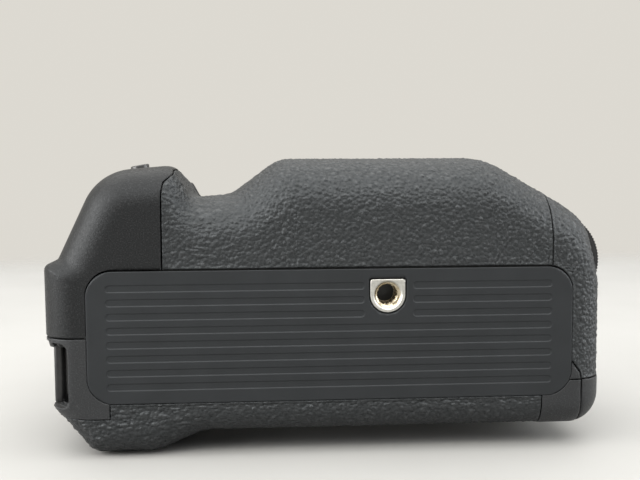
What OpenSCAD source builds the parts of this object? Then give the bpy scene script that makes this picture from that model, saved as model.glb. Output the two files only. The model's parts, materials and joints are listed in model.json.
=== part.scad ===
// Vertical battery grip for a camera, lying on its rear side as it is put down on a table.
// X runs towards the lock wheel end, Y from the ribbed base to the camera, Z towards the front.
// The origin is the tripod socket's axis in the outer face of the base.

/* [Body outline] */
// Tripod axis to the end with the lock wheel
wheel_end = 57; // [55:0.5:61]
// Tripod axis to the end with the shutter button
shutter_end = 86.4; // [85.5:0.1:89]
// Tripod axis to the flat of the rear face
rear_face = 35.2; // [34.8:0.1:37]
// Tripod axis to the thumb rest on the rear
thumb_face = 40.6; // [40:0.1:43]
// Tripod axis to the front of the finger bulge
bulge_face = 34.5; // [33:0.5:38]
// Tripod axis to the bottom of the middle finger's valley
valley_face = 25; // [24:0.2:27]
// Tripod axis to the front of the shutter hump
hump_face = 32.8; // [32:0.2:36]
// Height of the body from the base to the camera seat
body_h = 48; // [48:0.5:52]
// Half length of the finger bulge on the wheel side
bulge_right = 26.4; // [22:0.2:30]
// Half length of the finger bulge on the shutter side
bulge_left = 27; // [25:0.2:29]
// Distance of the hump's finger side from the tripod axis
hump_in = 53.6; // [52:0.2:55]
// Distance of the hump's far shoulder from the tripod axis
hump_out = 72.6; // [70:0.2:74]
// Height of the straight wall above the tripod axis at the wheel end
end_wall_z = 16.8; // [14:0.2:19]

/* [Edges] */
// Roll of the base edge along the finger bulge
bulge_roll = 13; // [11:0.5:14]
// Roll of the base edge at the two ends
end_roll = 9; // [8:0.5:10]
// Roll of the base edge along the rear
rear_roll = 7; // [6.5:0.5:8]
// How far the finger bulge draws back up to the camera seat
bulge_draw = 9; // [6:0.5:10]
// How far the hump draws back up to the camera seat
hump_draw = 5; // [3:0.5:6]
// Sweep radius from the end wall into the front flank
end_sweep_r = 20; // [14:1:22]

/* [Walls] */
// Wall of the moulded casings
wall = 1.8; // [1.5:0.1:2]
// Thickness of the grained grip covering
skin_t = 0.8; // [0.6:0.1:1]
// Thickness of the seat plate under the camera
seat_t = 2; // [1.6:0.1:2.5]
// Thickness of the rubber pad on the seat
pad_t = 0.8; // [0.5:0.1:1.2]
// Gap at the seams between neighbouring covers
seam = 0.25; // [0.15:0.05:0.3]

/* [Base plate] */
// Left end of the plate from the tripod axis
plate_left = 75; // [73:0.5:76]
// Right end of the plate from the tripod axis
plate_right = 47.5; // [45:0.5:48]
// Front edge of the plate from the tripod axis
plate_front = 6.7; // [6:0.1:7.5]
// Rear edge of the plate from the tripod axis
plate_rear = 26.5; // [25:0.1:27]
// Thickness of the plate
plate_t = 1.6; // [1.2:0.1:1.8]
// Corner radius of the plate
plate_r = 6.5; // [4:0.5:8]
// Number of grooves
groove_n = 8; // [6:1:8]
// Distance between grooves
groove_pitch = 3.52; // [3:0.02:3.6]
// Width of a groove
groove_w = 1.8; // [1:0.1:2]
// Depth of a groove
groove_d = 0.25; // [0.2:0.05:0.6]

/* [Tripod socket] */
// Radius of the thread's crests in the socket
socket_r = 3.175; // [2.5:0.005:3.3]
// Depth of the threaded hole
socket_depth = 6.5; // [5.5:0.1:7]
// Half width of the bushing
bushing_r = 4.45; // [4.2:0.05:4.8]
// Flat of the bushing above the axis
bushing_flat = 4; // [3.8:0.1:4.4]

/* [Lock wheel and screw] */
// Radius of the thumb wheel
wheel_r = 13.4; // [12.6:0.1:13.6]
// Depth of the wheel axis behind the end wall
wheel_inset = 9.2; // [9:0.1:9.8]
// Height of the wheel axis above the tripod axis
wheel_z = 6.2; // [5.5:0.1:8.5]
// Underside of the wheel above the base
wheel_y = 18; // [17.6:0.1:19]
// Thickness of the wheel
wheel_t = 7; // [5:0.1:8]
// Thickness of the gears
gear_t = 4.6; // [3:0.1:5]
// Radius of the camera screw
screw_r = 3.175; // [2.8:0.005:3.3]
// Length of the camera screw that stands out of the pad
screw_out = 5; // [4:0.1:6]

/* [Battery magazine] */
// Length of a battery well
well_l = 57.4; // [55:0.2:57.6]
// Depth of a battery well
well_z = 21.2; // [20:0.1:21.4]
// Height of a battery well in a body of the usual height
well_y = 39.6; // [36:0.2:39.8]
// Gap between the magazine and what it slides on
slide_gap = 0.3; // [0.2:0.05:0.4]
// Radius of the latch knob on the end cap
knob_r = 7.4; // [6:0.1:7.6]

/* [Controls] */
// Radius of the shutter button
shutter_r = 3.9; // [3.6:0.1:4.6]
// Distance of the shutter button from the base in a body of the usual height
shutter_y = 34; // [31:0.5:35]
// Radius of the function button on the hump
function_r = 2.5; // [2:0.1:2.8]
// Radius of the control dial
dial_r = 7.5; // [7:0.1:8]
// Width of the control dial
dial_w = 6.6; // [5:0.1:7]
// Width of the rear control panel
panel_w = 15; // [14:0.5:15.5]
// Radius of the focus button
focus_r = 3.4; // [2.8:0.1:3.5]
// Radius of the two small rear buttons
small_r = 2.4; // [1.8:0.1:2.5]
// Clearance round each button
button_gap = 0.2; // [0.15:0.05:0.3]

/* [Stalk and seat] */
// Length of the stalk along the grip
stalk_w = 38; // [34:0.5:39]
// Thickness of the stalk
stalk_d = 20; // [18:0.5:21]
// Height of the stalk over the seat
stalk_h = 58; // [50:1:60]
// Distance of the stalk's middle from the tripod axis
stalk_x = 56; // [54:0.5:57]
// Radius of the locating pins
pin_r = 2; // [1.5:0.1:2.2]
// Length of the locating pins over the pad
pin_out = 3.5; // [2.5:0.1:4]

/* [Strap eye] */
// Length of the strap slot
strap_l = 16; // [14:0.5:16.5]
// Height of the strap slot
strap_h = 15; // [13:0.5:16]
// Depth of the strap pocket behind the end wall
strap_depth = 8.6; // [8:0.1:9]
// How far the strap pocket's mouth cuts into the base
strap_mouth = 6.4; // [5:0.1:7]

/* [Hidden] */
$fn = 64;

// Fits
run_gap = 0.06;
turn_gap = 0.3;
cut = 1;
far = 200;

// Body height that the well and the shutter button are placed for
usual_h = 48;
grow_h = body_h - usual_h;

// Radii of the outline's corners
heel_r = 8.5;
bulge_right_r = 18;
bulge_left_r = 9;
valley_in_r = 8;
valley_out_r = 4;
hump_in_r = 4;
shoulder_r = 14;
ledge_r = 1.5;
ledge_end_r = 2;
strap_r = 10;
thumb_to_r = 6;
thumb_from_r = 14;
thumb_in_r = 14;
tight_r = 0.6;
hollow_grow = 0.4;

// Rolls and draws of the sides that have no size of their own above
flank_roll = 11;
flank_draw = 4;
valley_roll = 8;
valley_draw = 3;
valley_out_draw = 0.6;
hump_roll = 10;
slope_draw = 3;
ledge_roll = 7;
thumb_roll = 8;
roll_less = 1;
draw_less = 2;
end_less = 0.5;

// Places of the corners
hump_fall = 1.6;
ledge_out = 3.2;
ledge_z = 9.1;
ledge_fall = 1.5;
heel_z = 26.4;
heel_lean = 0.2;
thumb_from = 58.3;
thumb_to = 74.8;
thumb_in = 46.3;
valley_run = 12.5;
valley_gap = 4.4;
valley_fall = 0.4;
valley_in = bulge_left + valley_run;
valley_out = hump_in - valley_gap;

// Outline corners in order: x, z, corner radius, roll and draw of the side that follows, arc points
corners = [
    [wheel_end, -rear_face, heel_r, end_roll, 0, 4],
    [wheel_end, end_wall_z, end_sweep_r, flank_roll, flank_draw, 5],
    [bulge_right, bulge_face, bulge_right_r, bulge_roll, bulge_draw, 3],
    [-bulge_left, bulge_face, bulge_left_r, bulge_roll, bulge_draw - draw_less, 4],
    [-valley_in, valley_face + valley_fall, valley_in_r, bulge_roll - roll_less, valley_draw, 3],
    [-valley_out, valley_face - valley_fall, valley_out_r, valley_roll, valley_out_draw, 4],
    [-hump_in, hump_face, hump_in_r, hump_roll, hump_draw, 3],
    [-hump_out, hump_face - hump_fall, shoulder_r, hump_roll, slope_draw, 4],
    [-shutter_end + ledge_out, ledge_z, ledge_r, ledge_roll, 0, 2],
    [-shutter_end, ledge_z - ledge_fall, ledge_end_r, end_roll - end_less, 0, 2],
    [-shutter_end + heel_lean, -heel_z, strap_r, thumb_roll, 0, 4],
    [-thumb_to, -thumb_face, thumb_to_r, thumb_roll, 0, 4],
    [-thumb_from, -thumb_face, thumb_from_r, thumb_roll, 0, 3],
    [-thumb_in, -rear_face, thumb_in_r, rear_roll, 0, 3]
];
hump_top = 6;
hump_slope = 7;
draw_from = 16;
roll_steps = 5;
rough_steps = 3;
rise_levels = [20, 28, 36];
fan_point = [-52, -5];
max_roll = max([for (c = corners) c[3]]);

// Levels above the base
shell_t = skin_t + wall;
seat_y = body_h - seat_t;
pad_y = body_h + pad_t;
plate_fit = 0.1;
floor_thin = 0.2;
floor_lip = 2.8;
floor_from = plate_t + plate_fit;
floor_y = floor_from + wall - floor_thin;

// Seams between the covers, as seen from the base
hump_seam = 56.2;
cap_lap = 5.2;
cap_seam = plate_right - cap_lap;
heel_seam = -10.4;
jog_in = 0.3;
jog_out = 2.5;
jog_far = 3;
jog_end = 2.7;
jog_top = 17.8;
jog_mid = 20.6;
jog_low = 22.9;
cap_jog = [
    [plate_right + jog_in, -jog_top], [plate_right + jog_out, -jog_mid],
    [plate_right + jog_far, -jog_low], [plate_right + jog_end, -far]
];
cap_under = 1.2;
cap_step_y = wheel_y - cap_under;
cap_step_z = -6.6;
skin_low = -22.6;
thumb_skin_x = -69.5;
thumb_skin_z = -30.4;
corner_skin_x = 40.8;

// Magazine bay
tray_y0 = floor_y + slide_gap;
tray_rail = 1.2;
tray_y1 = tray_y0 + 2 * tray_rail + well_y + grow_h;
tray_back = -9;
tray_wall = 1.2;
tray_end = 2.4;
tray_mid = 2.4;
tray_nose = 1.6;
tray_short = 6.4;
tray_x1 = wheel_end - tray_short;
tray_rim = 2.2;
well_z1 = tray_back - tray_wall;
well_z0 = well_z1 - well_z;
outer_well = tray_x1 - tray_end - well_l;
inner_well = outer_well - tray_mid - well_l;
tray_x0 = inner_well - tray_nose;
contact_t = 0.25;
contact_ease = 0.15;
bay_x = tray_x0 - contact_t - contact_ease;
chassis_t = 1.2;
chassis_z = tray_back + slide_gap;
chassis_lap = 4;
chassis_low = 2;
chassis_rear = 1;
knob_down = 18;
knob_y = seat_y - knob_down;
knob_z = -14;
knob_deep = 1.5;
knob_play = 0.2;
knob_proud = 0.1;
knob_floor = wheel_end - knob_deep;
knob_shaft = 2.4;
knob_grip_t = 1.8;
knob_grip_w = 1.7;
knob_grip_in = 1;
knob_grip_r = 1.6;
cam_t = 1.8;
cam_short = 4;
cam_long = 7;
cam_half = 3.6;
cam_r = 3.2;
boss_low = 7;
boss_high = 6;
boss_r = 2.6;
cap_bite = 2.6;
cap_hole = 2.8;
boss_y = [tray_y0 + boss_low, tray_y1 - boss_high];
boss_z = -20;
cap_in = wheel_end - shell_t;
cam_x = cap_in - turn_gap - cam_t;

// Lock train: teeth of wheel, idlers and screw
wheel_teeth = 10;
idler_teeth = 24;
screw_teeth = 16;
press_angle = 25;
tooth_head = 0.75;
tooth_foot = 1.05;
tooth_slack = 0.1;
idler_angle = 14;
wheel_at = [wheel_end - wheel_inset, wheel_z];
chain_slack = 1.0085;
gear_m = 2 * norm(wheel_at) * chain_slack / (wheel_teeth + 4 * idler_teeth + screw_teeth);
idler_b_at = gear_m * (screw_teeth + idler_teeth) / 2 * [cos(idler_angle), sin(idler_angle)];
idler_a_at = reach(idler_b_at, wheel_at, gear_m * idler_teeth, gear_m * (idler_teeth + wheel_teeth) / 2);
hub_t = 3;
hub_r = 3;
wheel_bevel = 0.6;
wheel_step = 1;
wheel_ribs = 100;
rib_d = 0.2;
gear_y = wheel_y + wheel_t + hub_t;
bracket_y = gear_y + gear_t + turn_gap;
bracket_t = 1.5;
bracket_ring = 4.6;
bracket_end = 3.4;
bracket_w = 3.2;
bracket_post = 2.6;
axle_r = 1.5;
axle_in = 2;
axle_head = 0.9;
axle_head_t = 0.7;
axle_play = 0.2;
axle_top = bracket_y + bracket_t + axle_in;
seat_thread_r = 1;
seat_head_r = 2.1;
seat_head_t = 1.2;
seat_bite = (axle_top + seat_y) / 2;
screw_posts = [idler_a_at, idler_b_at, wheel_at];
neck_from = 0.5;
neck_over = 0.4;
neck_cut = 0.5;
screw_phase = 0;
idler_b_phase = mesh_phase([0, 0], idler_b_at, screw_phase, screw_teeth, idler_teeth);
idler_a_phase = mesh_phase(idler_b_at, idler_a_at, idler_b_phase, idler_teeth, idler_teeth);
wheel_phase = mesh_phase(idler_a_at, wheel_at, idler_a_phase, idler_teeth, wheel_teeth);

// Controls on the hump
shutter_tilt = heading(hump_top) + turn(hump_slope) / 2 - 180;
shutter_up = shutter_y + grow_h;
shutter_at = arc_point(hump_slope, 0.5, shutter_up);
switch_h = 1.6;
switch_lap = 0.6;
switch_clear = 0.4;
switch_r = shutter_r + turn_gap + switch_lap;
press_travel = 1;
press_play = 0.2;
button_proud = 0.8;
button_skirt = 3;
button_stem = 1.6;
dish_r = 14;
dish_d = 0.5;
switch_y = shutter_up + switch_r;
inner_wall = arc_point(hump_slope, 0.5, switch_y, shell_t);
inner_inset = (side_inset(hump_top, switch_y, shell_t) + side_inset(hump_slope, switch_y, shell_t)) / 2;
inner_r = corner_r(hump_slope, inner_inset);
inner_bow = inner_r - sqrt(max(pow(inner_r, 2) - pow(switch_r, 2), 0));
inner_flat = inner_r * (1 - cos(turn(hump_slope) / 4));
boss_deep = norm(inner_wall - shutter_at) + inner_bow + inner_flat + switch_clear;
boss_ring = 0.6;
well_ring = 0.3;
neck_t = 0.8;
lever_t = 1.6;
lever_w = 2.6;
lever_r = shutter_r + lever_w;
lever_play = 0.2;
tab_w = 3;
tab_l = 1.6;
function_in = 10;
function_down = 13;
function_x = hump_in + function_in;
function_y = shutter_up - function_down;
function_h = 4.8;
function_out = 1.2;
collar_t = 1.4;
collar_deep = 4;
collar_sink = 0.2;
function_tilt = heading(hump_top) - 180;
function_at = [-function_x, side_z(hump_top, -function_x)];
dial_along = 17;
dial_sink = 5.2;
dial_tilt = heading(hump_slope) - 180;
dial_at = [for (k = [0, 1]) corners[hump_slope][k] + dial_along * side_dir(hump_slope)[k]];
dial_axle_r = 0.8;
cheek_t = 2;
cheek_w = 7.6;
cheek_low = 3;
cheek_under = 3;
cheek_ease = 0.05;
cheek_high = dial_sink - cheek_under;
slot_ease = 0.2;
dial_ribs = 30;
dial_rib_d = 0.4;
dial_bevel = 0.5;
dial_step = 0.8;

// Controls on the thumb rest
panel_x = -(thumb_from + thumb_to) / 2;
panel_top = 2;
panel_l = 26;
panel_y = [seat_y - panel_top - panel_l, seat_y - panel_top];
panel_deep = 1;
panel_out = -thumb_face + panel_deep;
panel_t = 1.6;
panel_in = panel_out + panel_t;
board_deep = 6;
board_z = -thumb_face + board_deep;
switch_t = 1.2;
key_in = 0.4;
key_travel = 0.6;
button_out = -thumb_face + key_in;
button_in = board_z - switch_t - key_travel;
focus_up = 5;
keys_up = 12;
stick_up = 19.5;
keys_apart = 3.8;
focus_at = [panel_x, panel_y[0] + focus_up];
lock_at = [panel_x - keys_apart, panel_y[0] + keys_up];
point_at = [panel_x + keys_apart, panel_y[0] + keys_up];
stick_at = [panel_x, panel_y[0] + stick_up];
stick_deep = 3.8;
stick_z = -thumb_face + stick_deep;
stick_gap = 4;
collar_w = 1.2;
post_in = [1.6, 1.4];
panel_post_r = 1.1;
trunnion_r = 0.45;
trunnion_hole = 0.5;
trunnion_l = 9.6;
trunnion_bore = 12;
ring_r = 3.2;
ring_hole = 2.2;
ring_t = 1.4;
ball_r = 1.7;
pin_l = 6;
neck_r = 1.2;
cap_r = 2.7;
cap_t = 1.3;
cap_dish_r = 6;
cap_dish = 0.4;
board_in = [0.4, 0.2];
key_board_t = 1;
key_switch_r = 1.8;

// Seat
stalk_z = 2;
stalk_wall = 1.5;
stalk_r = 3;
flange_t = 1.2;
flange_w = 2.2;
head_t = 4;
head_plug = 6;
stalk_rib = 0.8;
rib_short = 6;
pin_near = 19;
pin_far = 36;
pin_down = 16;
pins_at = [[-pin_near, -pin_down], [pin_far, -pin_down]];
pin_shoulder = 0.5;
pin_ease = 0.2;
pad_ring = 1.6;

// Contacts
contact_n = 5;
contact_pitch = 5;
contact_w = 2;
contact_half = 3;
slot_w = 2;
slot_half = 4;
slot_deep = 3;
blade_w = 0.8;
blade_in = 0.6;
bay_contact_y = 8;
pack_contact_n = 4;
pack_contact_pitch = 6;
pack_contact_y = 12;
pack_contact_t = 0.7;
pack_contact_z = [14, 6];

// Main board
board_left = 5;
board_right = 1.6;
board_rise = 1.5;
board_back = 10;
board_front = 12.5;
board_low = [-bulge_left - board_left, board_back];
board_high = [bulge_right + board_right, bulge_face - board_front];
board_y = floor_y + board_rise;
board_t = 1.6;
post_edge = [3, 2.5];
post_r = 1.8;
thread_r = 0.9;
board_hole = 2;
board_bite = 1.8;
board_head_t = 1.1;
board_posts = [
    for (x = [board_low[0] + post_edge[0], board_high[0] - post_edge[0]])
        for (z = [board_low[1] + post_edge[1], board_high[1] - post_edge[1]]) [x, z]
];
chip_n = 3;
chip_pitch = 13;
chip_w = 8;
chip_d = 6;
chip_t = 1.1;

// Plate and socket
groove_margin = 4.8;
groove_far = 5.8;
groove_first = 4.3;
groove_clear = 0.4;
socket_rim = 1.9;
socket_floor = 2;
skin_back = 0.2;

// Strap eye
strap_gap = 1;
strap_y = 2.8;
strap_wall = 1.2;
strap_round = 2;
bar_half = [1.3, 1.7];
bar_r = 0.9;
bar_in = 2.9;
bar_y = strap_y + 7;

function unit(v) = v / norm(v);
function corner(i) = corners[(i + len(corners)) % len(corners)];
function side_dir(i) = unit([corner(i + 1)[0] - corner(i)[0], corner(i + 1)[1] - corner(i)[1]]);
function inward(i) = [-side_dir(i)[1], side_dir(i)[0]];
function heading(i) = let (a = atan2(side_dir(i)[1], side_dir(i)[0])) a < 0 ? a + 360 : a;
function turn(i) = let (d = heading(i) - heading(i - 1)) d > 180 ? d - 360 : d < -180 ? d + 360 : d;
function side_z(i, x) = corner(i)[1] + (x - corner(i)[0]) * side_dir(i)[1] / side_dir(i)[0];
function ease(u) = let (c = min(max(u, 0), 1)) c * c * (3 - 2 * c);

// How far side i lies inside the outline at height y, for a surface t under the outer one
function side_inset(i, y, t) =
    let (roll = corner(i)[3])
    (y >= roll ? t : roll - sqrt(max(pow(roll - t, 2) - pow(roll - y, 2), 0)))
    + corner(i)[4] * ease((y - draw_from) / (body_h - draw_from));

// Where the sides before and after corner i meet when they are set in by a and b
function meet(i, a, b) =
    let (n = inward(i - 1), m = inward(i), k = n[0] * m[1] - n[1] * m[0])
    [corner(i)[0] + (a * m[1] - b * n[1]) / k, corner(i)[1] + (b * n[0] - a * m[0]) / k];

function corner_r(i, d) =
    turn(i) > 0 ? max(corner(i)[2] - d, tight_r) : corner(i)[2] + hollow_grow * d;

function arc_point(i, part, y = max_roll, t = 0) =
    let (
        a = side_inset(i - 1, y, t),
        b = side_inset(i, y, t),
        r = sign(turn(i)) * corner_r(i, (a + b) / 2),
        w = heading(i - 1) - 90 + turn(i) * part
    )
    meet(i, a + r, b + r) + r * [cos(w), sin(w)];

function arc_count(i, rough) = rough ? max(2, ceil(corner(i)[5] * 0.6)) : corner(i)[5];

// Rounded outline at height y, t under the outer surface
function section(y, t, rough = false) = [
    for (i = [0 : len(corners) - 1])
        let (n = arc_count(i, rough))
        for (k = [0 : n - 1]) arc_point(i, k / (n - 1), y, t)
];

function roll_levels(t, steps) = [for (k = [0 : steps]) t + (max_roll - t) * (1 - cos(90 * k / steps))];

// Third corner of a triangle on the line from p to q, with sides a from p and b from q
function reach(p, q, a, b) =
    let (d = norm(q - p), u = (q - p) / d, s = (a * a + d * d - b * b) / (2 * d))
    p + s * u + sqrt(max(a * a - s * s, 0)) * [-u[1], u[0]];

// Phase that sets a gap of the driven gear on the driver's tooth
function mesh_phase(p, q, phase, driver, driven) =
    let (a = atan2(q[1] - p[1], q[0] - p[0]))
    a + 180 - (phase - a) * driver / driven + 180 / driven;

function involute(a) = tan(a) * 180 / PI - a;

function tooth_half(n, r) =
    let (pitch_r = gear_m * n / 2, base_r = pitch_r * cos(press_angle))
    90 / n - tooth_slack / pitch_r * 180 / PI + involute(press_angle) - involute(acos(min(base_r / r, 1)));

function polar(r, a) = r * [cos(a), sin(a)];

function contact_x(k) = -stalk_x + (k - (contact_n - 1) / 2) * contact_pitch;

module along_y(from, to) {
    translate([0, to, 0])
        rotate([90, 0, 0])
            linear_extrude(to - from)
                children();
}

module along_x(from, to) {
    translate([from, 0, 0])
        rotate([90, 0, 90])
            linear_extrude(to - from)
                children();
}

module rod_y(at, r, from, to) {
    translate([at[0], to, at[1]])
        rotate([90, 0, 0])
            cylinder(r = r, h = to - from);
}

module rod_x(y, z, r, from, to) {
    translate([from, y, z])
        rotate([0, 90, 0])
            cylinder(r = r, h = to - from);
}

module rod_z(at, r, from, to) {
    translate([at[0], at[1], from])
        cylinder(r = r, h = to - from);
}

module block(low, high) {
    translate(low)
        cube(high - low);
}

module round_rect(low, high, r) {
    translate([low[0] + r, low[1]])
        square([high[0] - low[0] - 2 * r, high[1] - low[1]]);
    translate([low[0], low[1] + r])
        square([high[0] - low[0], high[1] - low[1] - 2 * r]);
    for (x = [low[0] + r, high[0] - r], z = [low[1] + r, high[1] - r])
        translate([x, z])
            circle(r);
}

// Solid of the whole body, t under its outer surface
module loft(t, top, rough = false) {
    steps = rough ? rough_steps : roll_steps;
    levels = concat(roll_levels(t, steps), [for (y = rise_levels) if (y < top) y], [top]);
    rings = [for (y = levels) section(y, t, rough)];
    n = len(rings[0]);
    last = len(levels) - 1;
    points = concat(
        [for (k = [0 : last]) for (p = rings[k]) [p[0], levels[k], p[1]]],
        [[fan_point[0], levels[0], fan_point[1]], [fan_point[0], levels[last], fan_point[1]]]
    );
    base = len(points) - 2;
    sides = [
        for (k = [0 : last - 1], j = [0 : n - 1])
            let (a = k * n + j, b = k * n + (j + 1) % n)
            each [[a, b, b + n], [a, b + n, a + n]]
    ];
    caps = [
        for (j = [0 : n - 1])
            let (next = (j + 1) % n)
            each [[base, next, j], [base + 1, last * n + j, last * n + next]]
    ];
    polyhedron(points, concat(sides, caps));
}

module cavity() {
    loft(shell_t, body_h + cut, true);
}

module plate_outline(gap = 0) {
    low = [-plate_left - gap, -plate_rear - gap];
    high = [plate_right + gap, plate_front + gap];
    round_rect(low, high, plate_r + gap);
}

module zone(points, from = -cut, to = far) {
    along_y(from, to)
        difference() {
            polygon(points);
            plate_outline(seam);
        }
}

module front_zone() {
    left = -hump_seam + seam / 2;
    right = cap_seam - seam / 2;
    zone([[left, 0], [right, 0], [right, far], [left, far]]);
    block([cap_seam - seam, cap_step_y + seam / 2, cap_step_z + seam / 2], [far, far, far]);
}

module shutter_zone() {
    right = -hump_seam - seam / 2;
    low = heel_seam + seam / 2;
    zone([[-far, low], [right, low], [right, far], [-far, far]]);
}

module rear_zone() {
    jog = [for (p = cap_jog) [p[0] - seam, p[1] - seam]];
    reach_x = -plate_left + plate_r;
    zone(concat(
        [[-far, -far], [jog[3][0], -far], jog[2], jog[1], jog[0]],
        [[plate_right - plate_r, jog[0][1]], [plate_right - plate_r, -plate_rear + plate_r]],
        [[reach_x, -plate_rear + plate_r], [reach_x, heel_seam - seam / 2], [-far, heel_seam - seam / 2]]
    ));
}

module cap_zone() {
    front = cap_seam + seam / 2;
    low = [cap_jog[0], cap_jog[1], cap_jog[2], cap_jog[3], [far, -far]];
    step = cap_step_z - seam / 2;
    zone(concat([[far, far], [front, far], [front, cap_jog[0][1]]], low), to = cap_step_y - seam / 2);
    zone(concat([[far, step], [cap_jog[0][0], step]], low), to = seat_y - slide_gap);
}

// Where the grained covering lies on the rear and end covers
module rear_skin_zone() {
    side = -plate_left - cut;
    along_y(-cut, far)
        difference() {
            polygon([
                [-far, -far], [corner_skin_x, -far], [corner_skin_x, 0], [thumb_skin_x, 0],
                [thumb_skin_x, thumb_skin_z], [side, thumb_skin_z], [-far, thumb_skin_z]
            ]);
            plate_outline(seam);
        }
}

module wheel_window(gap) {
    rod_y(wheel_at, wheel_r + gap, cap_step_y - cut, wheel_y + wheel_t + gap);
}

module bushing_shape(gap) {
    circle(bushing_r + gap);
    translate([-bushing_r - gap, 0])
        square([2 * (bushing_r + gap), bushing_flat + gap]);
}

module floor_panel() {
    along_y(floor_from, floor_y)
        difference() {
            union() {
                plate_outline(-plate_fit);
                translate([-hump_seam + seam, 0])
                    square([hump_seam + cap_seam - 2 * seam, plate_front + floor_lip]);
            }
            bushing_shape(run_gap);
        }
}

module front_casing() {
    color("dimgray")
        difference() {
            union() {
                intersection() {
                    difference() {
                        loft(skin_t, seat_y);
                        cavity();
                    }
                    front_zone();
                }
                floor_panel();
                for (p = board_posts)
                    rod_y(p, post_r, skin_t + wall / 2, board_y);
            }
            for (p = board_posts)
                rod_y(p, thread_r, board_y - board_hole, board_y + cut);
            wheel_window(turn_gap);
        }
}

// Pocket behind the strap bar, with a mouth that also opens through the base
module strap_pocket(grow) {
    z = [heel_seam - strap_gap - strap_l, heel_seam - strap_gap];
    top = strap_y + strap_h + grow;
    block(
        [-far, strap_y - grow, z[0] - grow],
        [-shutter_end + strap_depth + grow, top, z[1] + grow]
    );
    along_y(-cut, top)
        round_rect([-far, z[0] - grow], [-shutter_end + strap_mouth + grow, z[1] + grow], strap_round);
}

module rear_casing() {
    color("dimgray")
        difference() {
            intersection() {
                union() {
                    difference() {
                        loft(0, seat_y);
                        rear_skin_zone();
                    }
                    loft(skin_t, seat_y);
                }
                rear_zone();
            }
            difference() {
                cavity();
                strap_pocket(strap_wall);
            }
            strap_pocket(0);
            block(
                [panel_x - panel_w / 2 - seam, panel_y[0] - seam, -far],
                [panel_x + panel_w / 2 + seam, panel_y[1] + seam, board_z]
            );
        }
}

module at_shutter() {
    translate([shutter_at[0], shutter_up, shutter_at[1]])
        rotate([0, -shutter_tilt, 0])
            children();
}

module at_function() {
    translate([function_at[0], function_y, function_at[1]])
        rotate([0, -function_tilt, 0])
            children();
}

module at_dial() {
    translate([dial_at[0], shutter_up, dial_at[1]])
        rotate([0, -dial_tilt, 0])
            translate([0, 0, -dial_sink])
                children();
}

module dial_disc(r, w) {
    rotate([0, 90, 0])
        cylinder(r = r, h = w, center = true);
}

module shutter_housing() {
    bore = shutter_r + turn_gap;
    cheek = dial_w / 2 + turn_gap + cheek_ease;
    color("dimgray")
        difference() {
            union() {
                difference() {
                    intersection() {
                        difference() {
                            loft(0, seat_y);
                            cavity();
                        }
                        shutter_zone();
                    }
                    at_dial()
                        dial_disc(dial_r + turn_gap + slot_ease, dial_w + 2 * turn_gap);
                    at_shutter()
                        cylinder(r = lever_r + well_ring, h = lever_t + button_proud + boss_deep);
                }
                at_shutter() {
                    translate([0, 0, -boss_deep])
                        cylinder(r = lever_r + boss_ring, h = boss_deep);
                    cylinder(r = bore + neck_t, h = lever_t);
                }
                at_function()
                    translate([0, 0, -collar_deep])
                        cylinder(r = function_r + collar_t, h = collar_deep - collar_sink);
                at_dial()
                    for (s = [-1, 1])
                        translate([s * (cheek + cheek_t / 2), 0, (cheek_high - cheek_low) / 2])
                            cube([cheek_t, cheek_w, cheek_high + cheek_low], center = true);
            }
            at_shutter()
                translate([0, 0, -boss_deep - cut])
                    cylinder(r = bore, h = boss_deep + lever_t + 2 * cut);
            at_function()
                translate([0, 0, -collar_deep - cut])
                    cylinder(r = function_r + button_gap, h = 2 * (collar_deep + cut));
            at_dial()
                dial_disc(dial_axle_r, dial_w + 4 * cheek_t);
        }
}

module front_grip_skin() {
    color("#2b2c2e")
        difference() {
            intersection() {
                difference() {
                    loft(0, seat_y);
                    loft(skin_t, body_h + cut);
                }
                front_zone();
            }
            wheel_window(turn_gap + skin_back);
        }
}

module rear_grip_skin() {
    color("#2b2c2e")
        difference() {
            intersection() {
                difference() {
                    loft(0, seat_y);
                    loft(skin_t, body_h + cut);
                }
                rear_zone();
                rear_skin_zone();
            }
            block(
                [panel_x - panel_w / 2 - seam, panel_y[0] - seam, -far],
                [panel_x + panel_w / 2 + seam, panel_y[1] + seam, board_z]
            );
        }
}

module groove(from, to, z) {
    along_y(-cut, groove_d) {
        translate([from + groove_w / 2, z - groove_w / 2])
            square([to - from - groove_w, groove_w]);
        for (x = [from + groove_w / 2, to - groove_w / 2])
            translate([x, z])
                circle(groove_w / 2);
    }
}

module base_plate() {
    first = plate_front - groove_first;
    from = -plate_left + groove_margin;
    to = plate_right - groove_far;
    stop = bushing_r + socket_rim;
    color("#303133")
        difference() {
            along_y(0, plate_t)
                difference() {
                    plate_outline();
                    bushing_shape(turn_gap);
                }
            for (k = [0 : groove_n - 1]) {
                z = first - k * groove_pitch;
                beside = abs(z) < bushing_r + groove_w / 2 + groove_clear;
                if (beside) {
                    groove(from, -stop, z);
                    groove(stop, to, z);
                } else {
                    groove(from, to, z);
                }
            }
        }
}

module tripod_socket() {
    length = socket_depth + socket_floor;
    color("silver")
        difference() {
            union() {
                along_y(0, length)
                    bushing_shape(0);
                rod_y([0, 0], bushing_r + socket_rim, floor_y, length);
            }
            rod_y([0, 0], socket_r, -cut, socket_depth);
        }
}

module pin_holes(r) {
    for (p = pins_at)
        translate(p)
            circle(r);
}

module stalk_outline(grow = 0) {
    half = [stalk_w / 2 + grow, stalk_d / 2 + grow];
    round_rect([-stalk_x - half[0], stalk_z - half[1]], [-stalk_x + half[0], stalk_z + half[1]], stalk_r);
}

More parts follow.
